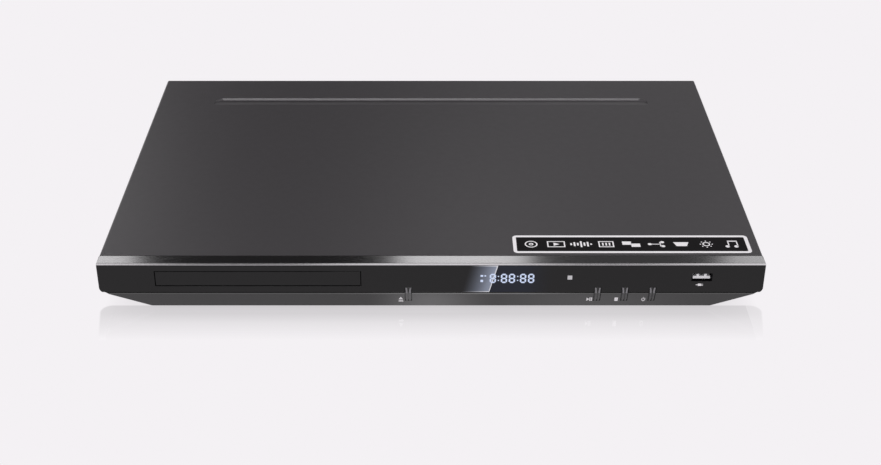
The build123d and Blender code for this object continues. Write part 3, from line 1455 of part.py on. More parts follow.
with BuildPart() as power_board:
    block(
        (power_left, power_front_y, board_z),
        (power_left + POWER_BOARD_WIDTH, board_edge_y, board_top_z),
    )
    for x, y in power_standoffs:
        post(x, y, board_z, board_top_z, screw_hole_radius, Mode.SUBTRACT)

with BuildPart() as board_standoffs:
    for x, y in main_standoffs + power_standoffs:
        post(x, y, floor_z, board_z, STANDOFF_RADIUS)
        post(x, y, floor_z, board_z, screw_hole_radius, Mode.SUBTRACT)

with BuildPart() as board_screws:
    for x, y in main_standoffs + power_standoffs:
        post(x, y, base_z, board_top_z, SCREW_RADIUS)
        post(x, y, board_top_z, board_top_z + BOARD_SCREW_HEIGHT, BOARD_SCREW_HEAD)

# What stands on the main board
soc_x = main_left + MAIN_BOARD_WIDTH / 2
soc_y = main_front_y + (main_depth - PORT_DEPTH) / 2
sink_z = board_top_z + SOC_SHEET
sink_half = HEATSINK_SIZE / 2
fin_step = (HEATSINK_SIZE - HEATSINK_FIN_SHEET) / (HEATSINK_FINS - 1)
with BuildPart() as heat_sink:
    block(
        (soc_x - sink_half, soc_y - sink_half, sink_z),
        (soc_x + sink_half, soc_y + sink_half, sink_z + HEATSINK_BASE),
    )
    for fin in range(HEATSINK_FINS):
        fin_x = soc_x - sink_half + fin * fin_step
        block(
            (fin_x, soc_y - sink_half, sink_z + HEATSINK_BASE),
            (fin_x + HEATSINK_FIN_SHEET, soc_y + sink_half, sink_z + HEATSINK_HEIGHT),
        )

with BuildPart() as board_chips:
    block(
        (soc_x - SOC_SIZE / 2, soc_y - SOC_SIZE / 2, board_top_z),
        (soc_x + SOC_SIZE / 2, soc_y + SOC_SIZE / 2, board_top_z + SOC_SHEET),
    )
    with Locations((soc_x, soc_y, board_top_z)):
        with GridLocations(MAIN_BOARD_WIDTH / 2, main_depth / 3, 2, 2):
            Box(
                CHIP_SIZE,
                CHIP_SIZE,
                CHIP_SHEET,
                align=(Align.CENTER, Align.CENTER, Align.MIN),
            )

# What stands on the power board
transformer_x = power_left + POWER_BOARD_WIDTH / 2
transformer_y = power_front_y + POWER_BOARD_DEPTH / 3
with BuildPart() as power_transformer:
    block(
        (transformer_x - TRANSFORMER_WIDTH / 2, transformer_y - TRANSFORMER_DEPTH / 2, board_top_z),
        (
            transformer_x + TRANSFORMER_WIDTH / 2,
            transformer_y + TRANSFORMER_DEPTH / 2,
            board_top_z + TRANSFORMER_HEIGHT,
        ),
    )
    for side in (-1, 1):
        block(
            (
                transformer_x - TRANSFORMER_WIDTH / 2 + COIL_MARGIN,
                transformer_y + side * TRANSFORMER_DEPTH / 2,
                board_top_z + COIL_RISE,
            ),
            (
                transformer_x + TRANSFORMER_WIDTH / 2 - COIL_MARGIN,
                transformer_y + side * (TRANSFORMER_DEPTH / 2 + COIL_MARGIN),
                board_top_z + TRANSFORMER_HEIGHT - COIL_RISE,
            ),
        )

with BuildPart() as capacitors:
    with Locations((main_left + CAPACITOR_INSET, soc_y, board_top_z)):
        with GridLocations(CAPACITOR_PITCH, CAPACITOR_PITCH, 2, 2):
            Cylinder(
                CAPACITOR_RADIUS,
                CAPACITOR_HEIGHT,
                align=(Align.CENTER, Align.CENTER, Align.MIN),
            )
    post(
        transformer_x - MAINS_CAPACITOR_RADIUS,
        transformer_y + POWER_BOARD_DEPTH / 3,
        board_top_z,
        board_top_z + MAINS_CAPACITOR_HEIGHT,
        MAINS_CAPACITOR_RADIUS,
    )
    with Locations((transformer_x, power_front_y + 2 * STANDOFF_INSET, board_top_z)):
        with GridLocations(4 * CAPACITOR_RADIUS, 0, 3, 1):
            Cylinder(
                CAPACITOR_RADIUS + SLIP,
                MAINS_CAPACITOR_HEIGHT / 2,
                align=(Align.CENTER, Align.CENTER, Align.MIN),
            )

# Rear sockets
port_back_y = rear_face_y + PORT_PROUD
port_front_y = port_back_y - PORT_DEPTH
mouth_floor_y = port_back_y - PORT_DEPTH * 2 / 3


def rear_socket(x, width, height, mouth_z, mouth_width, mouth_height):
    """Adds a socket block standing on the main board, with a mouth to the rear, to the part being built."""
    block(
        (x - width / 2, port_front_y, board_top_z),
        (x + width / 2, port_back_y, board_top_z + height),
    )
    block(
        (x - mouth_width / 2, mouth_floor_y, mouth_z - mouth_height / 2),
        (x + mouth_width / 2, port_back_y + OVERRUN, mouth_z + mouth_height / 2),
        mode=Mode.SUBTRACT,
    )


with BuildPart() as hdmi_port:
    hdmi_mouth_width = HDMI_WIDTH - 2 * HDMI_SHELL
    hdmi_mouth_height = HDMI_HEIGHT - 2 * HDMI_SHELL
    rear_socket(hdmi_x, HDMI_WIDTH, HDMI_HEIGHT, hdmi_z, hdmi_mouth_width, hdmi_mouth_height)
    block(
        (hdmi_x - HDMI_WIDTH / 3, mouth_floor_y, hdmi_z - HDMI_SHELL),
        (hdmi_x + HDMI_WIDTH / 3, port_back_y - PORT_PROUD, hdmi_z + HDMI_SHELL),
    )

with BuildPart() as lan_port:
    lan_mouth_z = board_top_z + LAN_MOUTH_RISE + LAN_MOUTH_HEIGHT / 2
    rear_socket(lan_x, LAN_WIDTH, LAN_HEIGHT, lan_mouth_z, LAN_MOUTH_WIDTH, LAN_MOUTH_HEIGHT)

with BuildPart() as optical_port:
    rear_socket(optical_x, OPTICAL_SIZE, OPTICAL_SIZE, optical_z, OPTICAL_MOUTH, OPTICAL_MOUTH)


def jack(x):
    """Adds a round signal socket, with its block behind the panel, to the part being built."""
    block(
        (x - JACK_BLOCK / 2, rear_inner_y - JACK_BLOCK_DEPTH, board_top_z),
        (x + JACK_BLOCK / 2, rear_inner_y, board_top_z + JACK_BLOCK),
    )
    with BuildSketch(upright(rear_inner_y)) as barrel:
        with Locations((x, jack_z)):
            Circle(JACK_RADIUS)
    extrude(barrel.sketch, amount=-(back_y + JACK_REACH - rear_inner_y))
    with BuildSketch(upright(back_y)) as bore:
        with Locations((x, jack_z)):
            Circle(JACK_RADIUS - JACK_WALL)
            Circle(JACK_INSULATOR_RADIUS, mode=Mode.SUBTRACT)
            Circle(JACK_PIN_RADIUS)
    extrude(bore.sketch, amount=-(JACK_REACH + OVERRUN), mode=Mode.SUBTRACT)


with BuildPart() as coax_jack:
    jack(coax_x)

with BuildPart() as left_audio_jack:
    jack(audio_x)

with BuildPart() as right_audio_jack:
    jack(audio_x - AUDIO_PITCH)

inlet_floor_y = port_back_y - INLET_MOUTH_DEPTH
with BuildPart() as ac_inlet:
    block(
        (inlet_x - INLET_WIDTH / 2, port_back_y - INLET_DEPTH, board_top_z),
        (inlet_x + INLET_WIDTH / 2, port_back_y, board_top_z + INLET_HEIGHT),
    )
    with BuildSketch(upright(inlet_floor_y)):
        with Locations((inlet_x, inlet_z)):
            SlotOverall(INLET_MOUTH_WIDTH, INLET_MOUTH_HEIGHT)
    extrude(amount=-(INLET_MOUTH_DEPTH + OVERRUN), mode=Mode.SUBTRACT)

with BuildPart() as inlet_pins:
    with BuildSketch(upright(inlet_floor_y)):
        with Locations((inlet_x, inlet_z)):
            with GridLocations(INLET_PIN_SPACING, 0, 2, 1):
                Circle(INLET_PIN_RADIUS)
    extrude(amount=-INLET_PIN_LENGTH)

# Ribbon from the front board to the main board, with a socket at each end
front_socket_y = board_back_y + SOCKET_DEPTH
main_socket_y = main_front_y + STANDOFF_INSET
socket_mid_z = board_top_z + SOCKET_HEIGHT / 2
with BuildPart() as ribbon_sockets:
    block(
        (ribbon_x - SOCKET_WIDTH / 2, board_back_y, board_top_z),
        (ribbon_x + SOCKET_WIDTH / 2, front_socket_y, board_top_z + SOCKET_HEIGHT),
    )
    block(
        (ribbon_x - SOCKET_WIDTH / 2, main_socket_y, board_top_z),
        (ribbon_x + SOCKET_WIDTH / 2, main_socket_y + SOCKET_DEPTH, board_top_z + SOCKET_HEIGHT),
    )

ribbon_low_z = floor_z + RIBBON_RISE
with BuildPart() as front_ribbon:
    with BuildSketch(Plane.YZ.offset(ribbon_x - RIBBON_WIDTH / 2)):
        with BuildLine():
            FilletPolyline(
                (front_socket_y + RIBBON_SHEET, socket_mid_z),
                (front_socket_y + 2 * RIBBON_BEND, socket_mid_z),
                (front_socket_y + 2 * RIBBON_BEND, ribbon_low_z),
                (main_front_y - 2 * RIBBON_BEND, ribbon_low_z),
                (main_front_y - 2 * RIBBON_BEND, socket_mid_z),
                (main_socket_y - RIBBON_SHEET, socket_mid_z),
                radius=RIBBON_BEND,
            )
        trace(line_width=RIBBON_SHEET)
    extrude(amount=RIBBON_WIDTH)

# Each finished piece is labelled and written
pieces = {
    "cover_screws": cover_screws,
    "top_cover": top_cover,
    "base_pan": base_pan,
    "rubber_feet": rubber_feet,
    "top_label": top_label,
    "front_panel": front_panel,
    "trim_strip": trim_strip,
    "fascia": fascia,
    "display_lens": display_lens,
    "tray_door": tray_door,
    "eject_key": eject_key,
    "play_key": play_key,
    "stop_key": stop_key,
    "power_key": power_key,
    "sensor_window": sensor_window,
    "usb_shell": usb_shell,
    "usb_tongue": usb_tongue,
    "front_board": front_board,
    "key_switches": key_switches,
    "display_module": display_module,
    "disc_tray": disc_tray,
    "tray_rack": tray_rack,
    "loader_frame": loader_frame,
    "tapping_screws": tapping_screws,
    "drive_gear": drive_gear,
    "pulley_gear": pulley_gear,
    "motor_pulley": motor_pulley,
    "loading_motor": loading_motor,
    "drive_belt": drive_belt,
    "cam_slider": cam_slider,
    "traverse_plate": traverse_plate,
    "spindle_motor": spindle_motor,
    "spindle_rotor": spindle_rotor,
    "turntable": turntable,
    "guide_rods": guide_rods,
    "lead_screw": lead_screw,
    "sled_motor": sled_motor,
    "pickup": pickup,
    "pickup_lens": pickup_lens,
    "clamp_bridge": clamp_bridge,
    "clamp_puck": clamp_puck,
    "rear_panel": rear_panel,
    "main_board": main_board,
    "power_board": power_board,
    "board_standoffs": board_standoffs,
    "board_screws": board_screws,
    "heat_sink": heat_sink,
    "board_chips": board_chips,
    "power_transformer": power_transformer,
    "capacitors": capacitors,
    "hdmi_port": hdmi_port,
    "lan_port": lan_port,
    "optical_port": optical_port,
    "coax_jack": coax_jack,
    "left_audio_jack": left_audio_jack,
    "right_audio_jack": right_audio_jack,
    "ac_inlet": ac_inlet,
    "inlet_pins": inlet_pins,
    "ribbon_sockets": ribbon_sockets,
    "front_ribbon": front_ribbon,
}
os.makedirs("parts", exist_ok=True)
for name, piece in pieces.items():
    piece.part.label = name
    export_step(piece.part, f"parts/{name}.step")
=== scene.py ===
"""Low disc player with a tray: the finish of every piece, the printed signs, the clock, and the studio."""
import math

import bmesh
import bpy
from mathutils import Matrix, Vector


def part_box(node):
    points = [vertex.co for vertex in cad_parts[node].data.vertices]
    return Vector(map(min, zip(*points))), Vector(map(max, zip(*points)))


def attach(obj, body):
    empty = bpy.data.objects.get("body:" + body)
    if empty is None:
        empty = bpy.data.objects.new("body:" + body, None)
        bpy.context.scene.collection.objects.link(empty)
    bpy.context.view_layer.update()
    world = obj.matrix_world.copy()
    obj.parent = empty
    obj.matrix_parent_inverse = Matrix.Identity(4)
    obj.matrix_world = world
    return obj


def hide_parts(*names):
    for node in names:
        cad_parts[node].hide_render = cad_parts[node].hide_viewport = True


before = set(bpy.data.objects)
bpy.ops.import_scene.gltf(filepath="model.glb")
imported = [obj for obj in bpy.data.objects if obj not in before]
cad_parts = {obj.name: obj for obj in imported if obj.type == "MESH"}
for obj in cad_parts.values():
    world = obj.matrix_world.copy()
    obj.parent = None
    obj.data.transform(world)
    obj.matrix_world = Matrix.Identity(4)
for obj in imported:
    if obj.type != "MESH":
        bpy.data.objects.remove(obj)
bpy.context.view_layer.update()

# Base pan and rear panel: sheet steel, stamped and folded, then dipped in black lacquer before assembly.
# Stoved lacquer is satin, and dust under it leaves it very slightly uneven.
MM = 0.001
LACQUER_DARK = "#151416"
LACQUER_PALE = "#1c1b1d"
LACQUER_GRAIN = 0.6 * MM
MOULD_RELIEF = 0.02 * MM
GRAINS_PER_PATCH = 12
PATCH_GLOSS = 0.05


def linear(code):
    """An sRGB hex colour as the linear colour that a shader takes."""
    shares = [int(code[start : start + 2], 16) / 255 for start in (1, 3, 5)]
    return [s / 12.92 if s <= 0.04045 else ((s + 0.055) / 1.055) ** 2.4 for s in shares] + [1.0]


def add_node(tree, kind, sockets=None, **settings):
    """Adds a node. A socket takes a value, or the output of another node as its link."""
    node = tree.nodes.new("ShaderNode" + kind)
    for name, value in settings.items():
        setattr(node, name, value)
    for name, value in (sockets or {}).items():
        if isinstance(value, bpy.types.NodeSocket):
            tree.links.new(value, node.inputs[name])
        else:
            node.inputs[name].default_value = value
    return node


def new_material(name):
    """An empty material, its node tree, and the object's own coordinates in metres."""
    material = bpy.data.materials.new(name)
    material.use_nodes = True
    material.node_tree.nodes.clear()
    place = add_node(material.node_tree, "TexCoord").outputs["Object"]
    return material, material.node_tree, place


def dress(material, *names):
    """Gives CAD nodes a finish through their material slots."""
    for name in names:
        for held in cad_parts[name].material_slots:
            held.material = material


def moulded(name, dark, pale, grain, roughness, relief=MOULD_RELIEF, **sockets):
    """A moulded or cast finish: two close tones in soft patches, and a fine grain of the given size."""
    material, tree, place = new_material(name)
    patch = GRAINS_PER_PATCH * grain
    patches = add_node(tree, "TexNoise", {"Vector": place, "Scale": 1 / patch, "Detail": 3.0})
    colour = add_node(
        tree,
        "Mix",
        {0: patches.outputs["Fac"], 6: linear(dark), 7: linear(pale)},
        data_type="RGBA",
    ).outputs[2]
    pebbles = add_node(tree, "TexNoise", {"Vector": place, "Scale": 1 / grain, "Detail": 2.0})
    normal = add_node(
        tree, "Bump", {"Height": pebbles.outputs["Fac"], "Distance": relief, "Strength": 0.5}
    ).outputs[0]
    gloss = add_node(
        tree,
        "MapRange",
        {
            "Value": patches.outputs["Fac"],
            "To Min": roughness - PATCH_GLOSS,
            "To Max": roughness + PATCH_GLOSS,
        },
    ).outputs[0]
    shader = add_node(
        tree, "BsdfPrincipled", {"Base Color": colour, "Roughness": gloss, "Normal": normal}
    )
    for socket, value in sockets.items():
        shader.inputs[socket.replace("_", " ")].default_value = value
    add_node(tree, "OutputMaterial", {"Surface": shader.outputs[0]})
    return material


stoved_lacquer = moulded(
    "stoved black lacquer", LACQUER_DARK, LACQUER_PALE, LACQUER_GRAIN, roughness=0.42
)
dress(stoved_lacquer, "base_pan", "rear_panel")

# Feet and drive belt: four black rubber discs whose stems are pushed through the pan, and a rubber loop.
# Moulded rubber is matt, a little grey with dust, and finely pebbled by its mould.
RUBBER_GRAIN = 0.5 * MM
rubber = moulded("moulded black rubber", "#141415", "#1c1c1d", RUBBER_GRAIN, roughness=0.78)
dress(rubber, "rubber_feet", "drive_belt")

# Circuit boards: glass-epoxy sheet with a green lacquer over etched copper.
# The lacquer is glossy, and the copper tracks under it show as slightly paler lines on a square grid.
MASK_GREEN = "#0d3a22"
TRACK_GREEN = "#1f5a38"
TRACK_PITCH = 2.5 * MM
TRACK_SHARE = 0.12
TRACK_LENGTH_SHARE = 3.0
COPPER_RELIEF = 0.035 * MM
lacquer, tree, place = new_material("glass-epoxy board under green lacquer")
tracks = add_node(
    tree,
    "TexBrick",
    {
        "Vector": place,
        "Color1": linear(MASK_GREEN),
        "Color2": linear(MASK_GREEN),
        "Mortar": linear(TRACK_GREEN),
        "Scale": 1 / TRACK_PITCH,
        "Mortar Size": TRACK_SHARE,
        "Brick Width": TRACK_LENGTH_SHARE,
        "Row Height": 1.0,
    },
)
step = add_node(
    tree, "Bump", {"Height": tracks.outputs["Fac"], "Distance": COPPER_RELIEF, "Strength": 0.6}
).outputs[0]
shader = add_node(
    tree,
    "BsdfPrincipled",
    {"Base Color": tracks.outputs["Color"], "Roughness": 0.32, "Normal": step},
)
add_node(tree, "OutputMaterial", {"Surface": shader.outputs[0]})
dress(lacquer, "main_board", "power_board", "front_board")

# Chips, display module, key switches and power transformer: epoxy and nylon mouldings on the boards.
# Moulded epoxy is a dull dark grey with a sandy skin from its mould.
EPOXY_GRAIN = 0.25 * MM
epoxy = moulded("moulded black epoxy", "#1b1b1d", "#242427", EPOXY_GRAIN, roughness=0.6)
dress(epoxy, "board_chips", "key_switches", "display_module", "power_transformer")

# Capacitors: aluminium cans in a shrunk plastic sleeve, soldered to the boards.
# The sleeve is smooth, dark blue and half glossy.
sleeve = moulded("shrunk PVC sleeve", "#16233f", "#1c2c4d", EPOXY_GRAIN, roughness=0.35)
dress(sleeve, "capacitors")

# Heat sink: an aluminium extrusion with upright fins, cut to length and left bare.
# The die leaves fine lines along the length, so the highlight is drawn out across them.
ALUMINIUM_DARK = "#a9abad"
ALUMINIUM_PALE = "#c6c8ca"
DIE_LINE = 0.35 * MM
LINE_RELIEF = 0.004 * MM
LINE_LENGTH_SHARE = 60
LINE_GLOSS = 0.06


def drawn_metal(name, dark, pale, line, roughness, along):
    """A metal with fine lines along one axis, from a die, a rolling mill or a brush."""
    material, tree, place = new_material(name)
    stretch = [1 / line if axis != along else 1 / (LINE_LENGTH_SHARE * line) for axis in range(3)]
    lines = add_node(tree, "Mapping", {"Vector": place, "Scale": stretch}).outputs[0]
    marks = add_node(tree, "TexNoise", {"Vector": lines, "Scale": 1.0, "Detail": 3.0}).outputs["Fac"]
    colour = add_node(
        tree, "Mix", {0: marks, 6: linear(dark), 7: linear(pale)}, data_type="RGBA"
    ).outputs[2]
    gloss = add_node(
        tree,
        "MapRange",
        {"Value": marks, "To Min": roughness - LINE_GLOSS, "To Max": roughness + LINE_GLOSS},
    ).outputs[0]
    scratch = add_node(
        tree, "Bump", {"Height": marks, "Distance": LINE_RELIEF, "Strength": 0.4}
    ).outputs[0]
    shader = add_node(
        tree,
        "BsdfPrincipled",
        {"Base Color": colour, "Metallic": 1.0, "Roughness": gloss, "Normal": scratch},
    )
    add_node(tree, "OutputMaterial", {"Surface": shader.outputs[0]})
    return material


aluminium = drawn_metal(
    "extruded aluminium", ALUMINIUM_DARK, ALUMINIUM_PALE, DIE_LINE, roughness=0.36, along=1
)
dress(aluminium, "heat_sink")

# Standoffs: turned brass pillars pressed into the pan under both boards.
# Turning leaves fine rings, and air has dulled the yellow.
TURNED_RING = 0.3 * MM
brass = drawn_metal("turned brass", "#8f6d2c", "#b08a3c", TURNED_RING, roughness=0.34, along=0)
dress(brass, "board_standoffs")

# Screws, rods, motor cans, clamp bridge, traverse and socket shells: rolled or drawn steel, nickel-plated.
# Nickel is a warm grey metal, brighter than zinc, with faint lines from the rolling mill.
nickel = drawn_metal("nickel-plated steel", "#8b8a88", "#b3b1ad", DIE_LINE, roughness=0.3, along=0)
dress(
    nickel,
    "tapping_screws",
    "board_screws",
    "clamp_bridge",
    "traverse_plate",
    "guide_rods",
    "lead_screw",
    "sled_motor",
    "loading_motor",
    "spindle_motor",
    "spindle_rotor",
    "hdmi_port",
    "lan_port",
    "inlet_pins",
)

# Rear sockets: the moulded nylon bodies of the optical socket and the mains inlet, and the three phono jacks.
# Each jack's ring is moulded in the colour that marks what it carries.
SOCKET_GRAIN = 0.3 * MM
socket_nylon = moulded("moulded black nylon", "#121213", "#1b1b1c", SOCKET_GRAIN, roughness=0.48)
dress(socket_nylon, "optical_port", "ac_inlet", "ribbon_sockets")
JACK_RINGS = {
    "coax_jack": ("orange", "#c8611a", "#d8702a"),
    "left_audio_jack": ("white", "#d6d5d0", "#e6e5e1"),
    "right_audio_jack": ("red", "#9f1a1c", "#b42528"),
}
for jack, (word, dark, pale) in JACK_RINGS.items():
    dress(moulded(f"moulded {word} ABS ring", dark, pale, SOCKET_GRAIN, roughness=0.4), jack)

# Ribbon and gears: white polyester and acetal, which are left in the colour of the resin.
# Acetal is milky and slippery, so it has a soft sheen and lets a little light into its edges.
ACETAL_GRAIN = 0.4 * MM
acetal = moulded(
    "moulded natural acetal", "#d9d7cf", "#e8e6df", ACETAL_GRAIN, roughness=0.38, Subsurface_Weight=0.08
)
dress(acetal, "front_ribbon", "drive_gear", "pulley_gear", "motor_pulley")

# Loader frame, cam slider, turntable, clamp and pickup: black ABS mouldings of the disc drive.
# A spark-eroded mould gives ABS a fine even grain and a satin look.
ABS_GRAIN = 0.35 * MM
grained_abs = moulded("grained black ABS", "#101011", "#19191a", ABS_GRAIN, roughness=0.5)
dress(grained_abs, "loader_frame", "cam_slider", "turntable", "clamp_puck", "pickup")

# Pickup lens: a small moulded glass bead over the laser.
# It is clear with a violet coating, and gathers the light into one sharp spot.
bead_glass = moulded(
    "coated lens glass",
    "#1c1836",
    "#2a2350",
    ABS_GRAIN,
    roughness=0.1,
    relief=0.0,
    Coat_Weight=0.8,
    Coat_Roughness=0.03,
)
dress(bead_glass, "pickup_lens")

# Disc tray and its rack: one black ABS sheet with two wells for the two sizes of disc.
# The wells are grained like the frame, so that a disc doesn't cling to them.
satin_abs = moulded("satin black ABS", "#131314", "#1c1c1e", ABS_GRAIN, roughness=0.42)
dress(satin_abs, "disc_tray", "tray_rack")

# Front panel: a black ABS moulding from a polished mould. Its top edge meets the cover, and its chin leans
# back to the table. Polished ABS mirrors softly, and its rounded edges catch a thin line of light.
PANEL_BLACK = "#0c0b0c"
PANEL_GREY = "#111011"
PANEL_EDGE = 0.12 * MM
PANEL_RIPPLE = 40 * MM
polished_abs, tree, place = new_material("polished black ABS")
flow = add_node(tree, "TexNoise", {"Vector": place, "Scale": 1 / PANEL_RIPPLE, "Detail": 2.0})
colour = add_node(
    tree,
    "Mix",
    {0: flow.outputs["Fac"], 6: linear(PANEL_BLACK), 7: linear(PANEL_GREY)},
    data_type="RGBA",
).outputs[2]
rounded = add_node(tree, "Bevel", {"Radius": PANEL_EDGE}, samples=6).outputs[0]
shader = add_node(
    tree, "BsdfPrincipled", {"Base Color": colour, "Roughness": 0.13, "Normal": rounded}
)
add_node(tree, "OutputMaterial", {"Surface": shader.outputs[0]})
dress(polished_abs, "front_panel")

# Trim strip: a slim ABS bar, chrome-plated and then brushed along its length, pressed on above the face.
# Brushed chrome blurs what it mirrors along the strip and keeps it sharp across. Its flat top, which faces
# up, is painted black and not metal, a painted shade that keeps the light above from being mirrored by the
# panel.
BRUSH_LINE = 0.05 * MM
SHADED_TOP_RISE = 0.9
satin_chrome = drawn_metal(
    "brushed chrome plating", "#cac8ca", "#d4d2d4", BRUSH_LINE, roughness=0.16, along=0
)
tree = satin_chrome.node_tree
plating = next(node for node in tree.nodes if node.type == "BSDF_PRINCIPLED")
chrome = plating.inputs["Base Color"].links[0].from_socket
# Painted shade: faces whose normal points up are black and not metal, so the lights above are not mirrored in
# them.
upward = add_node(tree, "NewGeometry").outputs["Normal"]
rise = add_node(tree, "SeparateXYZ", {"Vector": upward}).outputs["Z"]
plated_except_shaded_top = add_node(tree, "Math", {0: rise, 1: SHADED_TOP_RISE}, operation="LESS_THAN").outputs[0]
colour = add_node(
    tree, "Mix", {0: plated_except_shaded_top, 6: linear(PANEL_BLACK), 7: chrome}, data_type="RGBA"
).outputs[2]
tree.links.new(colour, plating.inputs["Base Color"])
tree.links.new(plated_except_shaded_top, plating.inputs["Metallic"])
dress(satin_chrome, "trim_strip")

# Face and tray door: clear acrylic printed black on its back, so that it is deep black and mirror-smooth.
# Beside the clock a painted reflection fades from black to pale steel blue up to a slanted painted highlight.
FACE_BLACK = "#0a090a"
PAINTED_GLARE_BLUE = "#929bac"
PAINTED_EDGE_HIGHLIGHT = "#dfe2e6"
FADE_LENGTH = 18.5 * MM
FADE_POWER = 1.6
EDGE_LINE = 0.7 * MM
RIM_LINE = 0.6 * MM
ACRYLIC_EDGE = 0.2 * MM
face_low, face_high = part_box("fascia")
lens_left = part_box("display_lens")[0][0]
printed_acrylic_with_glare, tree, place = new_material("acrylic printed black behind")
axes = add_node(tree, "SeparateXYZ", {"Vector": place}).outputs
shear = add_node(
    tree,
    "MapRange",
    {
        "Value": axes["Z"],
        "From Min": face_low[2],
        "From Max": face_high[2],
        "To Min": lens_left,
        "To Max": face_high[0],
    },
).outputs[0]
beside = add_node(tree, "Math", {0: axes["X"], 1: shear}, operation="SUBTRACT").outputs[0]
# Painted reflection: the colour fades from black to pale blue towards the slanted edge.
fade = add_node(
    tree, "MapRange", {"Value": beside, "From Min": -FADE_LENGTH, "From Max": 0.0}
).outputs[0]
depth = add_node(tree, "Math", {0: fade, 1: FADE_POWER}, operation="POWER").outputs[0]
painted_glare = add_node(
    tree, "Mix", {0: depth, 6: linear(FACE_BLACK), 7: linear(PAINTED_GLARE_BLUE)}, data_type="RGBA"
).outputs[2]
# Painted highlights: a bright line along the slanted edge, and along the top and bottom rims where the
# reflection is strong.
line = add_node(tree, "Math", {0: beside, 1: -EDGE_LINE}, operation="GREATER_THAN").outputs[0]
above = add_node(tree, "Math", {0: axes["Z"], 1: face_high[2] - RIM_LINE}, operation="GREATER_THAN")
below = add_node(tree, "Math", {0: axes["Z"], 1: face_low[2] + RIM_LINE}, operation="LESS_THAN")
rims = add_node(tree, "Math", {0: above.outputs[0], 1: below.outputs[0]}, operation="MAXIMUM")
rim_highlight = add_node(tree, "Math", {0: rims.outputs[0], 1: depth}, operation="MULTIPLY").outputs[0]
glare_edge_highlight = add_node(tree, "Math", {0: rim_highlight, 1: line}, operation="MAXIMUM").outputs[0]
colour = add_node(tree, "Mix", {0: glare_edge_highlight, 6: painted_glare, 7: linear(PAINTED_EDGE_HIGHLIGHT)}, data_type="RGBA").outputs[2]
rounded = add_node(tree, "Bevel", {"Radius": ACRYLIC_EDGE}, samples=6).outputs[0]
shader = add_node(
    tree,
    "BsdfPrincipled",
    {"Base Color": colour, "Roughness": 0.07, "Specular IOR Level": 0.3, "Normal": rounded},
)
add_node(tree, "OutputMaterial", {"Surface": shader.outputs[0]})
dress(printed_acrylic_with_glare, "fascia", "tray_door")

# Display lens: the same acrylic, smoked and tinted navy in front of the clock.
# The tint fades to black towards the keys, where nothing shines through.
LENS_NAVY = "#0c1322"
LENS_BLACK = "#080708"
TINT_START = 18 * MM
TINT_END = 42 * MM
smoked_acrylic, tree, place = new_material("smoked navy acrylic")
across = add_node(tree, "SeparateXYZ", {"Vector": place}).outputs["X"]
tint = add_node(
    tree,
    "MapRange",
    {"Value": across, "From Min": lens_left + TINT_START, "From Max": lens_left + TINT_END},
    interpolation_type="SMOOTHSTEP",
).outputs[0]
colour = add_node(
    tree, "Mix", {0: tint, 6: linear(LENS_NAVY), 7: linear(LENS_BLACK)}, data_type="RGBA"
).outputs[2]
rounded = add_node(tree, "Bevel", {"Radius": ACRYLIC_EDGE}, samples=6).outputs[0]
shader = add_node(
    tree,
    "BsdfPrincipled",
    {"Base Color": colour, "Roughness": 0.07, "Specular IOR Level": 0.3, "Normal": rounded},
)
add_node(tree, "OutputMaterial", {"Surface": shader.outputs[0]})
dress(smoked_acrylic, "display_lens")

# Clock: five digits of glowing phosphor behind the lens, with two colons and three small spots on their left.
# A fluorescent tube shines pale blue through a fine wire mesh, so each bar is faintly dotted.
DIGIT_XS = (39.9, 47.1, 52.2, 59.4, 64.6)
COLON_XS = (43.5, 55.9)
CLOCK_Z = 27.0
DIGIT_WIDTH = 4.1
DIGIT_HEIGHT = 7.0
BAR = 1.05
BAR_GAP = 0.12
COLON_SPREAD = 1.5
COLON_SIZE = 0.8
SPOT_X = 32.8
SPOT_SPREAD = 1.9
SPOT_SIZE = 1.7
UPPER_SPOT_SHARE = 0.8
SIDE_SPOT_SHARE = 0.6
SIDE_STEP_SHARE = 1.3
PRINT_LIFT = 0.03
PHOSPHOR_PALE = "#e2ebff"
PHOSPHOR_BLUE = "#c0d0f6"
MESH_PITCH = 0.3 * MM


def printed(name, outlines, surface, lift, material):
    """Thin raised shapes on a surface, which turns (across, up, lift) in millimetres into a place."""
    mesh = bmesh.new()
    for outline in outlines:
        low = [mesh.verts.new(surface(across, up, 0.0)) for across, up in outline]
        high = [mesh.verts.new(surface(across, up, lift)) for across, up in outline]
        mesh.faces.new(low)
        mesh.faces.new(high)
        for start in range(len(outline)):
            end = (start + 1) % len(outline)
            mesh.faces.new((low[start], low[end], high[end], high[start]))
    bmesh.ops.recalc_face_normals(mesh, faces=mesh.faces)
    data = bpy.data.meshes.new(name)
    mesh.to_mesh(data)
    mesh.free()
    data.materials.append(material)
    piece = bpy.data.objects.new(name, data)
    bpy.context.scene.collection.objects.link(piece)
    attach(piece, "chassis")
    return piece


def rectangle(across, up, width, height):
    """The corners of an upright rectangle about its middle."""
    return [
        (across + side * width / 2, up + level * height / 2)
        for side, level in ((-1, -1), (1, -1), (1, 1), (-1, 1))
    ]


def on_face(across, up, lift):
    """A place on the glossy face."""
    return Vector((across * MM, face_low[1] - lift * MM, up * MM))


def clock_bar(across, up, length, upright):
    """One bar of a digit, pointed at both ends."""
    half = length / 2 - BAR_GAP
    thin = BAR / 2
    upper = [(-half, 0), (thin - half, thin), (half - thin, thin)]
    lower = [(half, 0), (half - thin, -thin), (thin - half, -thin)]
    return [(across + (v if upright else u), up + (u if upright else v)) for u, v in upper + lower]


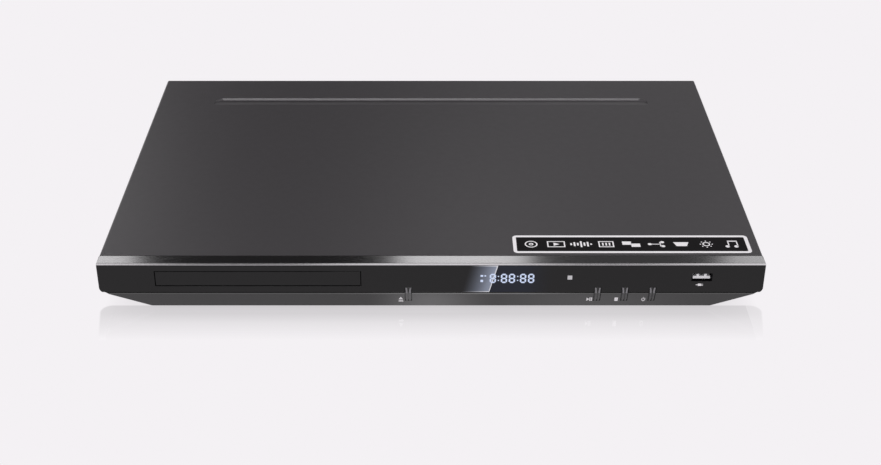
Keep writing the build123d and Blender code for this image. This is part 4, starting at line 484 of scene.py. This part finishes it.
clock_bars = []
reach = (DIGIT_WIDTH - BAR) / 2
storey = (DIGIT_HEIGHT - BAR) / 2
for digit_x in DIGIT_XS:
    for level in (-1, 0, 1):
        clock_bars.append(clock_bar(digit_x, CLOCK_Z + level * storey, 2 * reach, False))
    for side in (-1, 1):
        for level in (-1, 1):
            middle = CLOCK_Z + level * storey / 2
            clock_bars.append(clock_bar(digit_x + side * reach, middle, storey, True))
for colon_x in COLON_XS:
    for level in (-1, 1):
        clock_bars.append(rectangle(colon_x, CLOCK_Z + level * COLON_SPREAD, COLON_SIZE, COLON_SIZE))
spot_high = CLOCK_Z + SPOT_SPREAD
side_x = SPOT_X + SIDE_STEP_SHARE * SPOT_SIZE
side_size = SIDE_SPOT_SHARE * SPOT_SIZE
clock_bars.append(rectangle(SPOT_X, CLOCK_Z - SPOT_SPREAD, SPOT_SIZE, SPOT_SIZE))
clock_bars.append(rectangle(SPOT_X, spot_high, SPOT_SIZE, UPPER_SPOT_SHARE * SPOT_SIZE))
clock_bars.append(rectangle(side_x, spot_high, side_size, side_size))

phosphor, tree, place = new_material("lit phosphor behind wire mesh")
dots = add_node(tree, "TexVoronoi", {"Vector": place, "Scale": 1 / MESH_PITCH}).outputs["Distance"]
glow = add_node(
    tree, "Mix", {0: dots, 6: linear(PHOSPHOR_PALE), 7: linear(PHOSPHOR_BLUE)}, data_type="RGBA"
).outputs[2]
shader = add_node(
    tree,
    "BsdfPrincipled",
    {
        "Base Color": linear(LENS_NAVY),
        "Emission Color": glow,
        "Emission Strength": 0.9,
        "Roughness": 0.2,
    },
)
add_node(tree, "OutputMaterial", {"Surface": shader.outputs[0]})
printed("clock_digits", clock_bars, on_face, PRINT_LIFT, phosphor)

# Keys: four narrow black ABS levers that hook over the chin and press back on their switches.
# Two ribs on each have a painted highlight above the fold and painted shade on the leaning chin below it.
KEY_BLACK = "#0b0b0c"
RIB_PAINTED_HIGHLIGHT = "#747376"
RIB_SHADE = "#232224"
RIB_DEPTH = 0.35 * MM
CHIN_HEIGHT = 13 * MM
CHIN_SETBACK = 5 * MM
panel_low, panel_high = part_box("front_panel")
rib_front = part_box("eject_key")[0][1] + RIB_DEPTH
fold_z = panel_low[2] + CHIN_HEIGHT
key_abs, tree, place = new_material("satin black key ABS")
axes = add_node(tree, "SeparateXYZ", {"Vector": place}).outputs
rib_line = add_node(
    tree,
    "MapRange",
    {
        "Value": axes["Z"],
        "From Min": panel_low[2],
        "From Max": fold_z,
        "To Min": rib_front + CHIN_SETBACK,
        "To Max": rib_front,
    },
).outputs[0]
rib = add_node(tree, "Math", {0: axes["Y"], 1: rib_line}, operation="LESS_THAN").outputs[0]
# Painted light: the ribs are pale above the fold as a painted highlight, and dark on the chin as painted
# shade.
lit_above_fold = add_node(tree, "Math", {0: axes["Z"], 1: fold_z}, operation="GREATER_THAN").outputs[0]
rib_light_and_shade = add_node(
    tree, "Mix", {0: lit_above_fold, 6: linear(RIB_SHADE), 7: linear(RIB_PAINTED_HIGHLIGHT)}, data_type="RGBA"
).outputs[2]
colour = add_node(
    tree, "Mix", {0: rib, 6: linear(KEY_BLACK), 7: rib_light_and_shade}, data_type="RGBA"
).outputs[2]
shader = add_node(tree, "BsdfPrincipled", {"Base Color": colour, "Roughness": 0.3})
add_node(tree, "OutputMaterial", {"Surface": shader.outputs[0]})
dress(key_abs, "eject_key", "play_key", "stop_key", "power_key")

# Key signs: white pad print on the chin, just left of each key.
# Pad print is matt, a little uneven and slightly grey where the black shows through it.
SIGN_REACH = 5.0
SIGN_BAR = 0.7
SIGN_STRETCH = 1.7
PLAY_LEFT_SHARE = 1.5
PLAY_LENGTH_SHARE = 1.7
PAUSE_SHARES = (0.6, 1.6)
POWER_LINE = 0.385
POWER_GAP = math.radians(35)
RING_STEPS = 24
fold = Vector((0, face_low[1], fold_z))
down_chin = Vector((0, CHIN_SETBACK, panel_low[2] - fold_z))
chin_out = Vector((0, down_chin.z, -CHIN_SETBACK)).normalized()


def on_chin(across, up, lift):
    """A place on the leaning chin, stretched up it so that a sign reads square from above."""
    middle = fold + down_chin / 2 - down_chin.normalized() * up * SIGN_STRETCH * MM
    return Vector((across * MM, 0, 0)) + middle + chin_out * lift * MM


def arc_strip(across, up, outer, inner, start, end):
    """A flat strip along an arc, as one outline: out along the outer radius and back along the inner."""
    turns = [start + (end - start) * step / RING_STEPS for step in range(RING_STEPS + 1)]
    rim_highlight = [(across + outer * math.cos(a), up + outer * math.sin(a)) for a in turns]
    bore = [(across + inner * math.cos(a), up + inner * math.sin(a)) for a in reversed(turns)]
    return rim_highlight + bore


def eject_sign(half):
    """A triangle over a bar."""
    return [
        [(-half, -half + 2 * SIGN_BAR), (half, -half + 2 * SIGN_BAR), (0, half)],
        rectangle(0, SIGN_BAR / 2 - half, 2 * half, SIGN_BAR),
    ]


def play_sign(half):
    """A triangle beside two bars."""
    left = -PLAY_LEFT_SHARE * half
    bars = [rectangle(share * half, 0, SIGN_BAR, 2 * half) for share in PAUSE_SHARES]
    return [[(left, -half), (left + PLAY_LENGTH_SHARE * half, 0), (left, half)]] + bars


def stop_sign(half):
    """A square."""
    return [rectangle(0, 0, 2 * half, 2 * half)]


def power_sign(half):
    """A ring open at its top, with a bar in the gap."""
    top = math.pi / 2
    open_ring = arc_strip(0, 0, half, half - POWER_LINE, top + POWER_GAP, top + 2 * math.pi - POWER_GAP)
    return [open_ring, rectangle(0, half / 2, POWER_LINE, half)]


pad_print = moulded("white pad print", "#dcdbdd", "#efeeef", ABS_GRAIN, roughness=0.55)
KEY_SIGNS = {
    "eject": (eject_sign, 1.5),
    "play": (play_sign, 1.05),
    "stop": (stop_sign, 1.1),
    "power": (power_sign, 1.2),
}
for key, (sign, half) in KEY_SIGNS.items():
    key_low, key_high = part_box(f"{key}_key")
    sign_x = (key_low[0] + key_high[0]) / 2 / MM - SIGN_REACH
    outlines = [[(sign_x + across, up) for across, up in outline] for outline in sign(half)]
    printed(f"{key}_sign", outlines, on_chin, PRINT_LIFT, pad_print)

# Face gasket: strips of black felt laid in the groove under the face, one between each key and the next.
# Felt is matt and fibrous, and it ends flush with the chin's ledge. Its near black stands in for the groove's
# shade, a painted shade that makes the groove read as a thin dark line.
FELT_GRAIN = 0.35 * MM
FELT_SLACK = 0.02
KEY_OPENING = 4.6
LEDGE_SEARCH = 3 * MM
LEVEL_SLACK = 0.01 * MM


def corners_of(name):
    """All the corners of a CAD node's mesh, in the player's frame."""
    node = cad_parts[name]
    return [node.matrix_world @ corner.co for corner in node.data.vertices]


def on_seat(across, up, lift):
    """A place in front of the panel's upright seat, behind the face."""
    return Vector((across * MM, face_high[1] - lift * MM, up * MM))


foot = [corner for name in ("fascia", "display_lens") for corner in corners_of(name)]
foot_xs = [corner.x / MM for corner in foot if corner.z < face_low[2] + LEVEL_SLACK]
under_face = [
    corner
    for corner in corners_of("front_panel")
    if corner.y < face_high[1] - LEVEL_SLACK and -LEDGE_SEARCH < corner.z - face_low[2] < -LEVEL_SLACK
]
ledge_z = max(corner.z for corner in under_face)
ledge = [corner for corner in under_face if corner.z > ledge_z - LEVEL_SLACK]
ledge_xs = [corner.x / MM for corner in ledge]
felt_low = ledge_z / MM + FELT_SLACK
felt_high = face_low[2] / MM - FELT_SLACK
ends = [(min(ledge_xs), min(foot_xs))]
for key in KEY_SIGNS:
    key_low, key_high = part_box(f"{key}_key")
    key_x = (key_low[0] + key_high[0]) / 2 / MM
    ends += [(key_x - KEY_OPENING / 2,) * 2, (key_x + KEY_OPENING / 2,) * 2]
ends.append((max(ledge_xs), max(foot_xs)))
strips = [
    [(left[0], felt_low), (right[0], felt_low), (right[1], felt_high), (left[1], felt_high)]
    for left, right in zip(ends[::2], ends[1::2])
]
# Painted shade: the near-black felt fills the groove so that it reads as shade.
felt_as_groove_shade = moulded(
    "pressed black felt", "#050505", "#080708", FELT_GRAIN, roughness=0.9, Specular_IOR_Level=0.05
)
felt_depth = (face_high[1] - min(corner.y for corner in ledge)) / MM - FELT_SLACK
printed("face_gasket", strips, on_seat, felt_depth, felt_as_groove_shade)

# Remote sensor window: a small square of frosted acrylic in the lens.
# It scatters light, so it reads as a pale grey square on the black face.
frosted_acrylic = moulded("frosted acrylic", "#b4b4b6", "#cfcfd1", ABS_GRAIN, roughness=0.45)
dress(frosted_acrylic, "sensor_window")

# Front data socket: a white nylon tongue in a blackened steel shell, and a plain plug sign printed under it.
# The nylon is left white so that the tongue can be seen in the dark slot.
PLUG_SIGN_DROP = 5.6
PLUG_LENGTH = 2.2
PLUG_HEIGHT = 1.7
PIN_LENGTH = 1.1
PIN_HEIGHT = 0.35
PIN_SPREAD = 0.45
PIN_GAP = 0.05
CORD_LENGTH = 1.2
CORD_HEIGHT = 0.45
CORD_GAP = 0.1
white_nylon = moulded("moulded white nylon", "#dcdcde", "#ededee", SOCKET_GRAIN, roughness=0.42)
dress(white_nylon, "usb_tongue")
dark_steel = drawn_metal("blackened steel", "#1d1d1f", "#29292b", DIE_LINE, roughness=0.45, along=1)
dress(dark_steel, "usb_shell")
socket_low, socket_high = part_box("usb_shell")
socket_x = (socket_low[0] + socket_high[0]) / 2 / MM
sign_z = (socket_low[2] + socket_high[2]) / 2 / MM - PLUG_SIGN_DROP
pin_x = socket_x + PIN_GAP + PIN_LENGTH / 2
cord_x = socket_x - PLUG_LENGTH - CORD_GAP - CORD_LENGTH / 2
plug_sign = [
    rectangle(socket_x - PLUG_LENGTH / 2, sign_z, PLUG_LENGTH, PLUG_HEIGHT),
    rectangle(pin_x, sign_z + PIN_SPREAD, PIN_LENGTH, PIN_HEIGHT),
    rectangle(pin_x, sign_z - PIN_SPREAD, PIN_LENGTH, PIN_HEIGHT),
    rectangle(cord_x, sign_z, CORD_LENGTH, CORD_HEIGHT),
]
printed("plug_sign", plug_sign, on_face, PRINT_LIFT, pad_print)

# Top cover: one steel sheet folded over the case, with a pressed bead near the back, sprayed satin black.
# Baked powder paint has a very fine grain and a soft sheen that follows the room.
PAINT_DARK = "#181318"
PAINT_PALE = "#1c161c"
PAINT_GRAIN = 0.45 * MM
PAINT_RELIEF = 0.006 * MM
powder_paint = moulded(
    "baked satin powder paint",
    PAINT_DARK,
    PAINT_PALE,
    PAINT_GRAIN,
    roughness=0.42,
    relief=PAINT_RELIEF,
    Specular_IOR_Level=0.4,
)
dress(powder_paint, "top_cover")

# Cover screws: black-plated cross-head screws in the cover's sides and back.
# Black zinc over steel is dark with a faint metal glint on the edges.
black_zinc = drawn_metal(
    "black-plated steel", "#2c2c2e", "#3d3d40", TURNED_RING, roughness=0.4, along=1
)
dress(black_zinc, "cover_screws")

# Label: a black vinyl film stuck on the cover's front right corner, with a white border and plain signs.
# The vinyl is matt and blacker than the paint round it, and the screen print lies on it as a thin white coat.
LABEL_BORDER = 2.3
LABEL_CORNER = 3.0
LABEL_PRINT = 0.02
VINYL_RELIEF = 0.004 * MM
CORNER_STEPS = 8
label_low, label_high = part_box("top_label")
label_middle = (label_low + label_high) / 2 / MM
label_width, label_depth = ((label_high - label_low) / MM)[:2]
film_top = label_high[2] / MM - LABEL_PRINT


def round_corners(width, depth, radius):
    """A rectangle with round corners about the label's middle."""
    points = []
    for corner in range(4):
        quarter = math.pi / 2 * corner
        side = 1 if corner in (0, 3) else -1
        level = 1 if corner in (0, 1) else -1
        for step in range(CORNER_STEPS + 1):
            turn = quarter + math.pi / 2 * step / CORNER_STEPS
            points.append((
                label_middle[0] + side * (width / 2 - radius) + radius * math.cos(turn),
                label_middle[1] + level * (depth / 2 - radius) + radius * math.sin(turn),
            ))
    return points


def on_cover(across, up, lift):
    """A place on the flat top of the cover."""
    return Vector((across * MM, up * MM, label_low[2] + lift * MM))


def on_film(across, up, lift):
    """A place on the label's film."""
    return Vector((across * MM, up * MM, (film_top + lift) * MM))


vinyl = moulded(
    "matt black vinyl film",
    "#080608",
    "#0c0a0c",
    PAINT_GRAIN,
    roughness=0.6,
    relief=VINYL_RELIEF,
    Specular_IOR_Level=0.05,
)
film_outline = round_corners(label_width, label_depth, LABEL_CORNER)
film = printed("label_film", [film_outline], on_cover, film_top - label_low[2] / MM, vinyl)
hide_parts("top_label")

border_bore = round_corners(
    label_width - 2 * LABEL_BORDER, label_depth - 2 * LABEL_BORDER, LABEL_CORNER - LABEL_BORDER
)
half_way = len(film_outline) // 2
border = [
    film_outline[: half_way + 1] + border_bore[half_way::-1],
    film_outline[half_way:] + film_outline[:1] + border_bore[:1] + border_bore[: half_way - 1 : -1],
]
screen_print = moulded(
    "white screen print", "#dcdadc", "#e8e6e8", PAINT_GRAIN, roughness=0.5, relief=VINYL_RELIEF
)
printed("label_border", border, on_film, LABEL_PRINT, screen_print)

# Label signs: nine plain signs in a row inside the border, printed with it.
# Each is drawn in tenths of its height about its own middle: a disc, a screen, sound bars and so on.
SIGN_PITCH = 16.4
LABEL_SIGN = 8.4
DOT_STEPS = 16


def dot(across, up, radius):
    """A round spot."""
    turns = [2 * math.pi * step / DOT_STEPS for step in range(DOT_STEPS)]
    return [[(across + radius * math.cos(a), up + radius * math.sin(a)) for a in turns]]


def ring(across, up, outer, inner):
    """A round ring, in two halves."""
    return [arc_strip(across, up, outer, inner, start, start + math.pi) for start in (0, math.pi)]


def border_of(width, height, bar):
    """A rectangular outline, as four bars."""
    sides = [rectangle(side * (width - bar) / 2, 0, bar, height - 2 * bar) for side in (-1, 1)]
    ends = [rectangle(0, level * (height - bar) / 2, width, bar) for level in (-1, 1)]
    return sides + ends


def spots_round(reach, radius, count):
    """Round spots in a circle about the middle."""
    turns = [2 * math.pi * number / count for number in range(count)]
    return [spot for turn in turns for spot in dot(reach * math.cos(turn), reach * math.sin(turn), radius)]


def bars_across(pitch, width, heights):
    """Upright bars in a row about the middle."""
    first = (1 - len(heights)) / 2
    return [rectangle(pitch * (first + n), 0, width, tall) for n, tall in enumerate(heights)]


LABEL_SIGNS = {
    "disc": ring(0, 0, 5, 4) + ring(0, 0, 1.8, 0.8),
    "screen": border_of(14, 9, 1) + [[(-2, -2.4), (2.6, 0), (-2, 2.4)]],
    "sound": bars_across(2.6, 1.4, (3, 6, 4, 9, 5, 7, 2)),
    "film": border_of(12, 9, 1) + bars_across(2.6, 1.2, (4.4, 4.4, 4.4)),
    "two pictures": [rectangle(-3.4, 1.6, 7, 5), rectangle(3.4, -1.6, 7, 5)],
    "network": (
        dot(-5, 0, 1.6)
        + dot(5, 3, 1.6)
        + dot(5, -3, 1.6)
        + [rectangle(0, 0, 7, 0.9), rectangle(3.2, 0, 0.9, 6.9)]
    ),
    "socket": [[(-6, 3), (6, 3), (4, -3), (-4, -3)]],
    "light": ring(0, 0, 3, 2) + spots_round(4.6, 0.6, 8),
    "music": (
        dot(-3.4, -3.4, 1.7)
        + dot(3.4, -3.4, 1.7)
        + [rectangle(-2.2, 0.4, 0.9, 7.6), rectangle(4.6, 0.4, 0.9, 7.6), rectangle(1.2, 4.6, 7.7, 1.4)]
    ),
}
tenth = LABEL_SIGN / 10
signs = []
for count, sign in enumerate(LABEL_SIGNS.values()):
    sign_x = label_middle[0] + (count - (len(LABEL_SIGNS) - 1) / 2) * SIGN_PITCH
    for outline in sign:
        signs.append([(sign_x + across * tenth, label_middle[1] + up * tenth) for across, up in outline])
printed("label_signs", signs, on_film, LABEL_PRINT, screen_print)

# Floor: a wide sheet of white laminate, waxed enough to mirror the foot of what stands on it.
# The camera sees it at its own white, darker only in a painted shadow under the player and in that image,
# which ends in rounded corners before the face and fades when seen from straight above or at a low angle.
# Glossy faces see the floor white too, with two painted pools of light before the player.
FLOOR_REACH = 30.0
LAMINATE_WHITE = "#f4f1f4"
LAMINATE_GRAIN = "#efecef"
LAMINATE_PAINTED_SHADOW = "#e0dde0"
GRAIN_SIZE = 2 * MM
SHADE_REACH = 16 * MM
MIRROR_SHARE = 0.22
MIRROR_REACH = 31 * MM
MIRROR_START = 10.2 * MM
MIRROR_OVER = 2.2 * MM
MIRROR_CORNER = 9.3 * MM
MIRROR_TAPER = 0.16
MIRROR_SOFT = 1.2 * MM
WAX_STEEP = 0.25
WAX_SLANT = 0.45
WAX_LOW = 0.5
WAX_GRAZING = 0.6
POOL_REACH = 25 * MM
PAINTED_LIGHT_POOLS = ((0.0, 45 * MM, 1.2), (100 * MM, 90 * MM, 0.4))
laminate, tree, place = new_material("waxed white laminate")
grain = add_node(tree, "TexNoise", {"Vector": place, "Scale": 1 / GRAIN_SIZE, "Detail": 3.0})
tone = add_node(
    tree,
    "Mix",
    {0: grain.outputs["Fac"], 6: linear(LAMINATE_GRAIN), 7: linear(LAMINATE_WHITE)},
    data_type="RGBA",
).outputs[2]
lit = add_node(tree, "BsdfPrincipled", {"Base Color": tone, "Roughness": 0.9})
# Painted shadow: the white the camera sees darkens towards the shadow grey where the player stands close over
# the floor.
open_room = add_node(tree, "AmbientOcclusion", {"Distance": SHADE_REACH}, samples=16).outputs["AO"]
painted_shadow = add_node(
    tree, "Mix", {0: open_room, 6: linear(LAMINATE_PAINTED_SHADOW), 7: linear(LAMINATE_WHITE)}, data_type="RGBA"
).outputs[2]
white_with_painted_shadow = add_node(tree, "Emission", {"Color": painted_shadow}).outputs[0]
image = add_node(tree, "BsdfGlossy", {"Roughness": 0.03}).outputs[0]
axes = add_node(tree, "SeparateXYZ", {"Vector": place}).outputs
ahead = add_node(
    tree,
    "MapRange",
    {
        "Value": axes["Y"],
        "From Min": face_low[1] - MIRROR_REACH,
        "From Max": face_low[1],
        "To Max": MIRROR_SHARE,
    },
).outputs[0]
bend_y = face_low[1] + MIRROR_START - MIRROR_CORNER
bend_x = panel_high[0] + MIRROR_OVER - MIRROR_CORNER
past_y = add_node(tree, "Math", {0: axes["Y"], 1: bend_y}, operation="SUBTRACT").outputs[0]
sideways = add_node(tree, "Math", {0: axes["X"]}, operation="ABSOLUTE").outputs[0]
widened = add_node(
    tree, "Math", {0: past_y, 1: -MIRROR_TAPER, 2: sideways}, operation="MULTIPLY_ADD"
).outputs[0]
past_x = add_node(tree, "Math", {0: widened, 1: bend_x}, operation="SUBTRACT").outputs[0]
past = add_node(tree, "CombineXYZ", {"X": past_x, "Y": past_y}).outputs[0]
outside = add_node(tree, "VectorMath", {0: past, 1: (0.0, 0.0, 0.0)}, operation="MAXIMUM").outputs[0]
from_bend = add_node(tree, "VectorMath", {0: outside}, operation="LENGTH").outputs["Value"]
middle = add_node(
    tree,
    "MapRange",
    {
        "Value": from_bend,
        "From Min": MIRROR_CORNER - MIRROR_SOFT,
        "From Max": MIRROR_CORNER,
        "To Min": 1.0,
        "To Max": 0.0,
    },
).outputs[0]
facing = add_node(tree, "LayerWeight").outputs["Facing"]
slanting = add_node(
    tree, "MapRange", {"Value": facing, "From Min": WAX_STEEP, "From Max": WAX_SLANT}
).outputs[0]
not_grazing = add_node(
    tree,
    "MapRange",
    {"Value": facing, "From Min": WAX_LOW, "From Max": WAX_GRAZING, "To Min": 1.0, "To Max": 0.0},
).outputs[0]
angled = add_node(tree, "Math", {0: slanting, 1: not_grazing}, operation="MULTIPLY").outputs[0]
waxed = add_node(tree, "Math", {0: middle, 1: angled}, operation="MULTIPLY").outputs[0]
share = add_node(tree, "Math", {0: ahead, 1: waxed}, operation="MULTIPLY").outputs[0]
seen = add_node(tree, "MixShader", {0: share, 1: white_with_painted_shadow, 2: image}).outputs[0]
near = add_node(
    tree,
    "MapRange",
    {"Value": axes["Y"], "From Min": face_low[1] - POOL_REACH, "From Max": face_low[1]},
).outputs[0]
# Painted light: two pools of brighter white, seen by glossy faces, are painted on the floor before the
# player.
brightness = 1.0
for pool_x, pool_reach, gain in PAINTED_LIGHT_POOLS:
    aside = add_node(tree, "Math", {0: axes["X"], 1: pool_x}, operation="SUBTRACT").outputs[0]
    distance = add_node(tree, "Math", {0: aside}, operation="ABSOLUTE").outputs[0]
    pool = add_node(
        tree,
        "MapRange",
        {"Value": distance, "From Max": pool_reach, "To Min": gain, "To Max": 0.0},
        interpolation_type="SMOOTHSTEP",
    ).outputs[0]
    lift = add_node(tree, "Math", {0: pool, 1: near}, operation="MULTIPLY").outputs[0]
    brightness = add_node(tree, "Math", {0: brightness, 1: lift}, operation="ADD").outputs[0]
mirrored = add_node(
    tree, "Emission", {"Color": linear(LAMINATE_WHITE), "Strength": brightness}
).outputs[0]
ray = add_node(tree, "LightPath").outputs
by_mirror = add_node(
    tree, "Math", {0: ray["Is Glossy Ray"], 1: ray["Is Transmission Ray"]}, operation="MAXIMUM"
).outputs[0]
to_camera = add_node(tree, "MixShader", {0: ray["Is Camera Ray"], 1: lit.outputs[0], 2: seen}).outputs[0]
surface = add_node(tree, "MixShader", {0: by_mirror, 1: to_camera, 2: mirrored}).outputs[0]
add_node(tree, "OutputMaterial", {"Surface": surface})
laminate.cycles.emission_sampling = "NONE"


def sheet(name, corners, material):
    """A flat four-cornered sheet for the studio."""
    data = bpy.data.meshes.new(name)
    data.from_pydata(corners, [], [(0, 1, 2, 3)])
    data.materials.append(material)
    piece = bpy.data.objects.new(name, data)
    bpy.context.scene.collection.objects.link(piece)
    return piece


floor_corners = [(FLOOR_REACH * x, FLOOR_REACH * y, 0.0) for x, y in ((-1, -1), (1, -1), (1, 1), (-1, 1))]
sheet("studio_floor", floor_corners, laminate)

# Studio light: an even pale room, with grey flags and bright strips hung out of view round the player.
# Only its glossy and satin faces mirror them, which gives the light and dark stretches along the front.
ROOM_WHITE = "#fffdff"
ROOM_LEVEL = 0.97
# A card has its two sides across, its low and high edges as (y, z), and its level left and right of a ramp.
HUNG_CARDS = {
    "back_flag": ((-1.3, 1.3), (1.3, 0.25), (1.3, 1.7), (0.1, 0.46)),
    "left_card": ((-1.3, -0.56), (1.25, 0.25), (1.25, 0.85), (2.0, 2.0)),
    "left_strip": ((-0.75, -0.54), (1.2, 0.94), (1.2, 1.14), (8.5, 8.5)),
    "middle_strip": ((-0.0615, 0.177), (1.2, 0.94), (1.2, 1.14), (9.0, 9.0)),
    "right_strip": ((0.532, 0.75), (1.2, 0.94), (1.2, 1.14), (6.0, 6.0)),
    "top_strip": ((-1.2, 1.2), (-0.4, 1.5), (0.1, 1.5), (10.5, 10.5)),
    "front_left_flag": ((-0.526, -0.188), (-1.5, 1.5), (-0.6, 1.5), (0.1, 0.1)),
    "front_right_flag": ((0.2, 0.457), (-1.5, 1.5), (-0.6, 1.5), (0.2, 0.2)),
    "low_strip": ((-1.0, 1.0), (-1.5, 0.68), (-1.5, 1.02), (2.2, 2.2)),
    "low_middle_strip": ((-0.08, 0.22), (-1.49, 0.68), (-1.49, 1.02), (4.5, 4.5)),
}
RAMP_START = -0.05
RAMP_END = 0.3
world = bpy.data.worlds.new("pale room")
bpy.context.scene.world = world
world.use_nodes = True
world.node_tree.nodes.clear()
room = add_node(world.node_tree, "Background", {"Color": linear(ROOM_WHITE), "Strength": ROOM_LEVEL})
add_node(world.node_tree, "OutputWorld", {"Surface": room.outputs[0]})

for name, (sides, low, high, levels) in HUNG_CARDS.items():
    glowing, tree, place = new_material(name)
    across = add_node(tree, "SeparateXYZ", {"Vector": place}).outputs["X"]
    level = add_node(
        tree,
        "MapRange",
        {
            "Value": across,
            "From Min": RAMP_START,
            "From Max": RAMP_END,
            "To Min": levels[0],
            "To Max": levels[1],
        },
        interpolation_type="SMOOTHSTEP",
    ).outputs[0]
    glow = add_node(tree, "Emission", {"Color": linear(ROOM_WHITE), "Strength": level})
    add_node(tree, "OutputMaterial", {"Surface": glow.outputs[0]})
    corners = [(sides[0], *low), (sides[1], *low), (sides[1], *high), (sides[0], *high)]
    card = sheet(name, corners, glowing)
    card.visible_camera = False
    card.visible_diffuse = False
    card.visible_shadow = False

# Camera: in front of the player at the photograph's height, looking 30 degrees down.
CAMERA_PLACE = (0.0, -0.9278, 0.5114)
CAMERA_PITCH = math.radians(60)
CAMERA_LENS = 58.13
CAMERA_SHIFT = 0.0108
camera = bpy.data.objects.new("camera", bpy.data.cameras.new("camera"))
camera.location = CAMERA_PLACE
camera.rotation_euler = (CAMERA_PITCH, 0, 0)
camera.data.lens = CAMERA_LENS
camera.data.shift_x = CAMERA_SHIFT
bpy.context.scene.collection.objects.link(camera)
bpy.context.scene.camera = camera
bpy.context.scene.view_settings.view_transform = "Standard"
